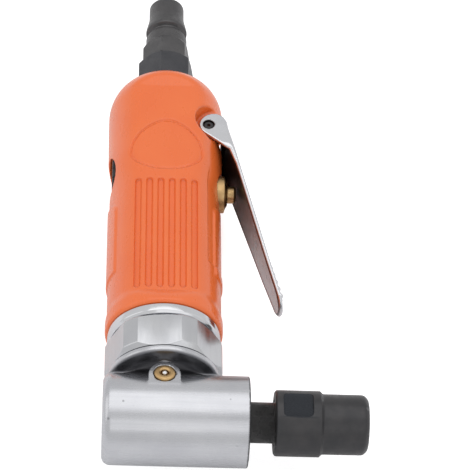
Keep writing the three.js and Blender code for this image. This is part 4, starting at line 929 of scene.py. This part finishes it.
# The blackened bushing and quick coupler plug at the hose end. Both hexagons are turned to the photograph.
bushing = Settings(
    across=15.1, corner=-12, front=121.8, shank=6.2, shankStart=101.4, bore=4, frontChamfer=0.55,
    rearChamfer=1.1, step=0.12, thread=5.1, threadFloor=122.2, threadChamfer=(0.5, 0.4), shankEdge=0.3,
    edge=0.18, crisp=0.1,
)
plug = Settings(
    across=12.8, corner=-13, shaft=4.95, shaftStart=122.5, hexStart=132.1, hexEnd=139.3, hexChamfer=1.8,
    step=0.1, frontChamfer=0.15, collar=6.15, collarEnd=142.8, groove=4.9, grooveStart=143.45,
    grooveEnd=144.75, lip=6.2, lipStart=145.4, lipEnd=146.2, neckRadius=5.72, neckAt=148.5, nose=5.25,
    noseStart=150.8, noseEase=1.2, tipRound=0.9, tipEase=0.4, bore=3.7, boreChamfer=0.4, sharp=0.08,
    crisp=0.1, edge=0.15, eased=0.2, round=0.25, soft=0.3,
)
bushingEnd, plugEnd = span("inlet_bushing", 1)[1], span("air_plug", 1)[1]


def hexAt(angle, s):
    # half the flats, the reach at this angle, and how near that is to a corner, from 0 to 1
    flat = s.across / 2
    reach = hexRadius(angle, s.across, s.corner)
    return flat, reach, (reach - flat) / (flat / math.cos(math.pi / 6) - flat)


def bushingCorners(angle):
    s = bushing
    flat, reach, lean = hexAt(angle, s)
    front = s.front + s.step + s.frontChamfer * lean
    rear = bushingEnd - s.step - s.rearChamfer * lean
    wide, deep = s.threadChamfer
    return [
        (s.bore, s.shankStart), (s.shank, s.shankStart, s.shankEdge), (s.shank, s.front),
        (flat - s.step, s.front, s.crisp), (reach, front, s.edge), (reach, rear, s.edge),
        (flat - s.step, bushingEnd, s.crisp), (s.thread + wide, bushingEnd, s.crisp),
        (s.thread, bushingEnd - deep), (s.thread, s.threadFloor), (s.bore, s.threadFloor),
    ]


def plugCorners(angle):
    s = plug
    flat, reach, lean = hexAt(angle, s)
    rear = s.hexEnd - s.step - s.hexChamfer * lean
    return [
        (s.bore, s.shaftStart), (s.shaft, s.shaftStart, s.eased), (s.shaft, s.hexStart),
        (reach - s.frontChamfer, s.hexStart, s.sharp), (reach, s.hexStart + s.frontChamfer, s.sharp),
        (reach, rear, s.edge), (flat - s.step, s.hexEnd, s.crisp), (s.collar, s.hexEnd, s.crisp),
        (s.collar, s.collarEnd, s.round), (s.groove, s.grooveStart, s.soft),
        (s.groove, s.grooveEnd, s.soft), (s.lip, s.lipStart, s.round),
        (s.lip, s.lipEnd, s.soft), (s.neckRadius, s.neckAt, s.noseEase),
        (s.nose, s.noseStart, s.noseEase), (s.nose, plugEnd - s.tipRound, s.tipEase),
        (s.nose - s.tipRound, plugEnd, s.tipEase), (s.bore + s.boreChamfer, plugEnd, s.edge),
        (s.bore, plugEnd - s.boreChamfer, s.edge),
    ]


def hexAngles(count, corner, spread=1.2):
    # more angles close to the corners, where the outline turns
    ends = (-spread, -spread / 3, spread / 3, spread)
    return evenAngles(count, [corner + 60 * k + d for k in range(6) for d in ends])


obj = spin("hex_bushing", bushingCorners, hexAngles(96, bushing.corner), closed=True, sharpAngle=20)
fit(obj, "inlet_bushing", finish="black_bushing")
obj = spin("coupler_plug", plugCorners, hexAngles(120, plug.corner), closed=True, sharpAngle=20)
fit(obj, "air_plug", finish="black_hose_end")
print("bushing and plug done")


# The spindle, with two flats on its neck, and the blackened nut that closes the collet.
shaft = Settings(
    tail=(2.5, -8.7), journal=(4.4, 9.885), seat=(5.0, 15.285), neck=(5.6, 30.2), crisp=0.1, eased=0.15,
    edge=0.2, soft=0.3, thread=6.4, threadStart=30.5, threadPitch=1.25, threadDepth=0.35, threadLead=0.6,
    threadShape=((0, 0), (0.35, 1), (0.45, 1), (0.8, 0)), threadEnd=0.8, threadChamfer=0.3,
    tipChamfer=0.4, socket=4.6, socketFloor=26.1, flat=5.2, flatStart=23.6, flatEnd=29.8, flatStep=0.06,
    flatAngle=-2,
)
shaftLow, shaftHigh = span("spindle", 0)
colletNut = Settings(
    thread=6.52, body=9.05, nose=8.25, noseStart=43.4, noseRound=1.3, noseEase=0.75, mouth=3.7,
    mouthEdge=0.1, mouthEnd=55.0, chamber=5.5, chamberFrom=42.9, cone=(5.35, 52.0), frontChamfer=0.5,
    flat=8.15, flatStart=32.3, flatEnd=40.5, flatCorner=1.3, flatFold=4, flatMark=0.04,
    flatTurns=(-0.3, 0.02, 0.3, 0.8, 1.5, 2.5, 3.5, 4.7, 6), edge=0.14, crisp=0.05, chamfer=0.3,
    eased=0.15,
)
nutFrom, nutTo = span("collet_nut", 0)


def flatOff(angle):
    # how far an angle is from the middle of the nearer of the two flats, in degrees
    return abs((angle - shaft.flatAngle + 90) % 180 - 90)


def shaftCorners(angle):
    s = shaft
    neck, thread, chamfer, tip = s.neck[0], s.thread, s.threadChamfer, s.tipChamfer
    reach = min(neck, s.flat / max(math.cos(math.radians(flatOff(angle))), 0.2))
    turns = int((shaftHigh - s.threadEnd - s.threadStart) / s.threadPitch)
    ridges = []
    for k in range(turns):
        at = s.threadStart + s.threadLead + k * s.threadPitch
        for share, deep in s.threadShape:
            ridges.append((thread - deep * s.threadDepth, at + share * s.threadPitch))
    return [
        (0, shaftLow), (s.tail[0], shaftLow, s.soft), s.tail, (s.journal[0], s.tail[1], s.edge),
        s.journal, (s.seat[0], s.journal[1], s.eased), s.seat, (neck, s.seat[1], s.edge),
        (neck, s.flatStart), (reach, s.flatStart + s.flatStep), (reach, s.flatEnd - s.flatStep),
        (neck, s.flatEnd), s.neck, (thread - chamfer, s.threadStart),
        (thread, s.threadStart + chamfer), *ridges, (thread, shaftHigh - tip),
        (thread - tip, shaftHigh, s.crisp), (s.socket, shaftHigh), (s.socket, s.socketFloor),
        (0, s.socketFloor),
    ]


def colletNutCorners(angle):
    # away from the flats the corners that bound them are folded together
    s = colletNut
    off = math.radians(flatOff(angle))
    reach, start, end = s.body, s.flatStart + s.flatFold, s.flatEnd - s.flatFold
    half = math.sqrt(s.body ** 2 - s.flat ** 2)
    across = s.flat * math.tan(min(off, 1.2))
    if across < half:
        reach = s.flat / math.cos(off)
        past = max(across - half + s.flatCorner, 0)
        curve = s.flatCorner - math.sqrt(max(s.flatCorner ** 2 - past ** 2, 0))
        start, end = s.flatStart + curve, s.flatEnd - curve
    crisp, chamfer, eased = s.crisp, s.chamfer, s.eased
    edge = s.edge if across > half else crisp
    step = s.body - s.nose
    return [
        (s.thread, nutFrom + chamfer), (s.thread + chamfer, nutFrom),
        (s.body - s.frontChamfer, nutFrom, eased), (s.body, nutFrom + s.frontChamfer, eased),
        (s.body, start, crisp), (reach, start + crisp, crisp), (reach, end - crisp, crisp),
        (s.body, end, crisp), (s.body, s.noseStart - step, edge), (s.nose, s.noseStart, chamfer),
        (s.nose, nutTo - s.noseRound, s.noseEase), (s.nose - s.noseRound, nutTo, s.noseEase),
        (s.mouth + chamfer, nutTo, eased), (s.mouth, nutTo - chamfer, s.mouthEdge), (s.mouth, s.mouthEnd),
        s.cone, (s.chamber, s.cone[1] - chamfer), (s.chamber, s.chamberFrom),
        (s.thread, s.chamberFrom),
    ]


def bothSides(limit, backs):
    # the angles at which the two flats begin and end, and others a little inside and outside of them
    return [shaft.flatAngle + half + sign * (limit - back)
            for half in (0, 180) for sign in (-1, 1) for back in backs]


neckLimit = math.degrees(math.acos(shaft.flat / shaft.neck[0]))
flatLimit = math.degrees(math.acos(colletNut.flat / colletNut.body))
flatEdges = bothSides(flatLimit, colletNut.flatTurns)
obj = spin("ground_spindle", shaftCorners, evenAngles(90, bothSides(neckLimit, [0])), "x", sharpAngle=20)
fit(obj, "spindle", finish="black_spindle")


def onFlat(x, y, z):
    # 1 on the nut's two milled flats
    s, near = colletNut, colletNut.flatMark
    height = np.abs(turned(y, z, -shaft.flatAngle)[1])
    return (np.abs(height - s.flat) < near) & (x > s.flatStart + near) & (x < s.flatEnd - near)


obj = spin("closed_collet_nut", colletNutCorners, evenAngles(120, flatEdges), "x", True, sharpAngle=20)
markPoints(obj, "onFlat", onFlat)
fit(obj, "collet_nut", finish="black_collet_nut")

# The slotted collet inside it.
jaw = Settings(
    bore=3.0, body=4.4, shoulder=5.0, shoulderAt=(47.5, 49.6, 51.7), nose=3.6, edge=0.2, slots=3,
    slotHalf=0.4, slotStart=42.6, slotAngle=-2, slotEdge=0.1, cell=0.22,
)
jawLow, jawHigh = extent("collet")


def colletShape(x, y, z):
    s = jaw
    across = np.hypot(y, z)
    stops = [jawLow[0], *s.shoulderAt, jawHigh[0]]
    line = np.interp(x, stops, [s.body, s.body, s.shoulder, s.shoulder, s.nose])
    body = softMax(across - line, allOf(jawLow[0] - x, x - jawHigh[0]), s.edge)
    body = softMax(body, s.bore - across, s.edge)
    for k in range(s.slots):
        out, off = turned(y, z, -s.slotAngle - 360 / s.slots * k)
        body = softMax(body, -allOf(np.abs(off) - s.slotHalf, -out, s.slotStart - x), s.slotEdge)
    return body


fit(moulded("slotted_collet", colletShape, jawLow, jawHigh, [jaw.cell] * 3), "collet")

# The threaded ring and lip seal at the head's mouth.
retainer = Settings(outer=9.5, inner=7.5, lip=6.55, lipLength=0.9, chamfer=0.3, edge=0.1)
seal = Settings(inner=5.72, outer=7.4, lip=0.55, lipFrom=1.7, lipRise=1.2, edge=0.2, soft=0.3)
retainerFrom, retainerTo = span("spindle_retainer", 0)
sealFrom, sealTo = span("spindle_seal", 0)


def retainerCorners(outer, inner, lip, lipLength, chamfer, edge):
    floor = retainerTo - lipLength
    return [
        (inner, retainerFrom), (outer, retainerFrom), (outer, retainerTo - chamfer, edge),
        (outer - chamfer, retainerTo, edge), (lip + chamfer, retainerTo, edge),
        (lip, retainerTo - chamfer, edge), (lip, floor), (inner, floor),
    ]


def sealCorners(inner, outer, lip, lipFrom, lipRise, edge, soft):
    return [
        (inner, sealFrom, edge), (outer, sealFrom, soft), (outer, sealTo, soft),
        (inner + lip, sealTo, edge), (inner + lip, sealTo - lipRise, soft), (inner, sealTo - lipFrom, soft),
    ]


fit(spin("retaining_ring", retainerCorners(**retainer), evenAngles(90), "x", True), "spindle_retainer")
fit(spin("lip_seal", sealCorners(**seal), evenAngles(72), "x", True), "spindle_seal")

# The grease fitting leans with its pad: a domed brass disc with a spring loaded ball in its mouth.
grease = Settings(
    bottom=10.4, stem=2.2, rimLow=12.2, rim=2.9, top=13.1, hole=1.1, floor=11.5, dome=0.45, drop=0.35,
    chamfer=0.3, lipDrop=0.02, crisp=0.1, eased=0.15, edge=0.2, soft=0.3,
)
ball = Settings(radius=0.8, at=12.45, steps=20)
greaseAt = (0, head.padFrom + head.padLength, 0)


def leaned(points):
    points[:, 1], points[:, 2] = turned(points[:, 1].copy(), points[:, 2].copy(), -head.padTilt)
    return points


def greaseCorners(bottom, stem, rimLow, rim, top, hole, floor, dome, drop, chamfer, lipDrop,
                  crisp, eased, edge, soft):
    return [
        (0, bottom), (stem, bottom, edge), (stem, rimLow), (rim, rimLow, crisp), (rim, top - drop, soft),
        (rim - dome, top, soft), (hole + dome, top - lipDrop, eased), (hole, top - chamfer, eased),
        (hole, floor), (0, floor),
    ]


ballLine = []
for k in range(ball.steps + 1):
    a = math.pi * k / ball.steps
    ballLine.append((ball.radius * math.sin(a), ball.at - ball.radius * math.cos(a)))
cupCorners = greaseCorners(**grease)
fit(spin("grease_cup", cupCorners, evenAngles(64), "z", centre=greaseAt, place=leaned), "grease_fitting")
fit(spin("check_ball", ballLine, evenAngles(40), "z", centre=greaseAt, place=leaned), "grease_ball")
print("spindle, collet nut, collet and grease fitting done")

# Pieces that keep their frame shape get their finish by what they are made of.
kept = [(node, obj) for node, obj in frame["nodes"].items() if not obj.hide_render]
for node, obj in kept:
    obj.data.materials.clear()
    obj.data.materials.append(finishes[slotOf[node]])
print("frame pieces finished,", len(kept))


# The studio: a pale floor that keeps the tool's shadow, and large soft lights.
studio = Settings(
    floorColor=(0.9, 0.9, 0.91), floorRough=0.9, floorShine=0.1, floorGlow=0.66, floorLevel=-16.5,
    floorReach=4000, skyFill=0.74,
)
corners = [(x * studio.floorReach, y * studio.floorReach, studio.floorLevel)
           for x, y in ((-1, -1), (1, -1), (1, 1), (-1, 1))]
floorMesh = bpy.data.meshes.new("floor")
floorMesh.from_pydata((np.array(corners) + crossing) * mm, [], [(0, 1, 2, 3)])
floorFinish = bpy.data.materials.new("floor")
floorFinish.use_nodes = True
tree = floorFinish.node_tree
matt = tree.nodes["Principled BSDF"]
feed(tree, [matt.inputs[key] for key in ("Base Color", "Roughness", "Specular IOR Level")],
     (studio.floorColor, studio.floorRough, studio.floorShine))
glow = addNode(tree, "ShaderNodeEmission", (1, 1, 1), studio.floorGlow).outputs[0]
glowing = addNode(tree, "ShaderNodeAddShader", matt.outputs[0], glow).outputs[0]
# the floor glows only where the camera sees it
fromCamera = addNode(tree, "ShaderNodeLightPath").outputs["Is Camera Ray"]
shown = addNode(tree, "ShaderNodeMixShader", fromCamera, matt.outputs[0], glowing).outputs[0]
tree.links.new(shown, tree.nodes["Material Output"].inputs[0])
floorMesh.materials.append(floorFinish)
floor = addObject("floor", floorMesh)

world = bpy.data.worlds.new("studio")
bpy.context.scene.world = world
world.use_nodes = True
tree = world.node_tree
path = addNode(tree, "ShaderNodeLightPath").outputs
seen = calc(tree, "MAXIMUM", path["Is Camera Ray"], path["Is Transmission Ray"])
skyLight = between(tree, seen, 0, 1, studio.skyFill, 1)
feed(tree, tree.nodes["Background"].inputs, ((1, 1, 1), skyLight))

# place, aim and size in millimetres round the crossing
lights = {
    "overhead": dict(at=(30, 205, 700), aim=(30, 205, 0), size=(900, 740), level=0.65),
    "front": dict(at=(200, -548, 511), aim=(40, 0, 0), size=(800, 400), level=0.38),
    "left": dict(at=(-560, 60, 330), aim=(0, 60, 0), size=(520, 420), level=0.42, color=(1, 0.99, 0.98)),
    "right": dict(
        at=(560, 120, 360), aim=(10, 60, 0), size=(480, 420), level=0.12, color=(0.98, 0.99, 1),
    ),
}
for name, light in lights.items():
    lamp = bpy.data.lights.new(name, "AREA")
    lamp.shape = "RECTANGLE"
    lamp.size, lamp.size_y = (v * mm for v in light["size"])
    # a card this bright shows as its level in a mirror
    lamp.energy = light["level"] * math.pi * lamp.size * lamp.size_y
    lamp.color = light.get("color", (1, 1, 1))
    obj = addObject(name, lamp)
    at, aim = ((Vector(light[key]) + Vector(crossing)) * mm for key in ("at", "aim"))
    obj.location = at
    obj.rotation_euler = (aim - at).to_track_quat("-Z", "Y").to_euler()

# The camera stands in front of the spindle, looks down along the handle, and is rolled a little.
view = Settings(
    aim=(20.238, 66.491, 0.0), azimuth=-4.362, height=49.923, roll=4.984, distance=800, lens=213.0,
    film=36, clip=(0.01, 20),
)
turn, lift, roll = (math.radians(view[key]) for key in ("azimuth", "height", "roll"))
backward = Vector((math.sin(turn) * math.cos(lift), -math.cos(turn) * math.cos(lift), math.sin(lift)))
level = Vector((math.cos(turn), math.sin(turn), 0))
upright = backward.cross(level)
sideways = math.cos(roll) * level + math.sin(roll) * upright
upward = math.cos(roll) * upright - math.sin(roll) * level
lens = bpy.data.cameras.new("camera")
lens.lens, lens.sensor_width = view.lens, view.film
lens.clip_start, lens.clip_end = view.clip
camera = addObject("camera", lens)
camera.matrix_world = Matrix((sideways, upward, backward)).transposed().to_4x4()
camera.location = (Vector(view.aim) + backward * view.distance + Vector(crossing)) * mm
bpy.context.scene.camera = camera
bpy.context.scene.view_settings.view_transform = "Standard"
print("studio, lights and camera done")

print("scene ready")
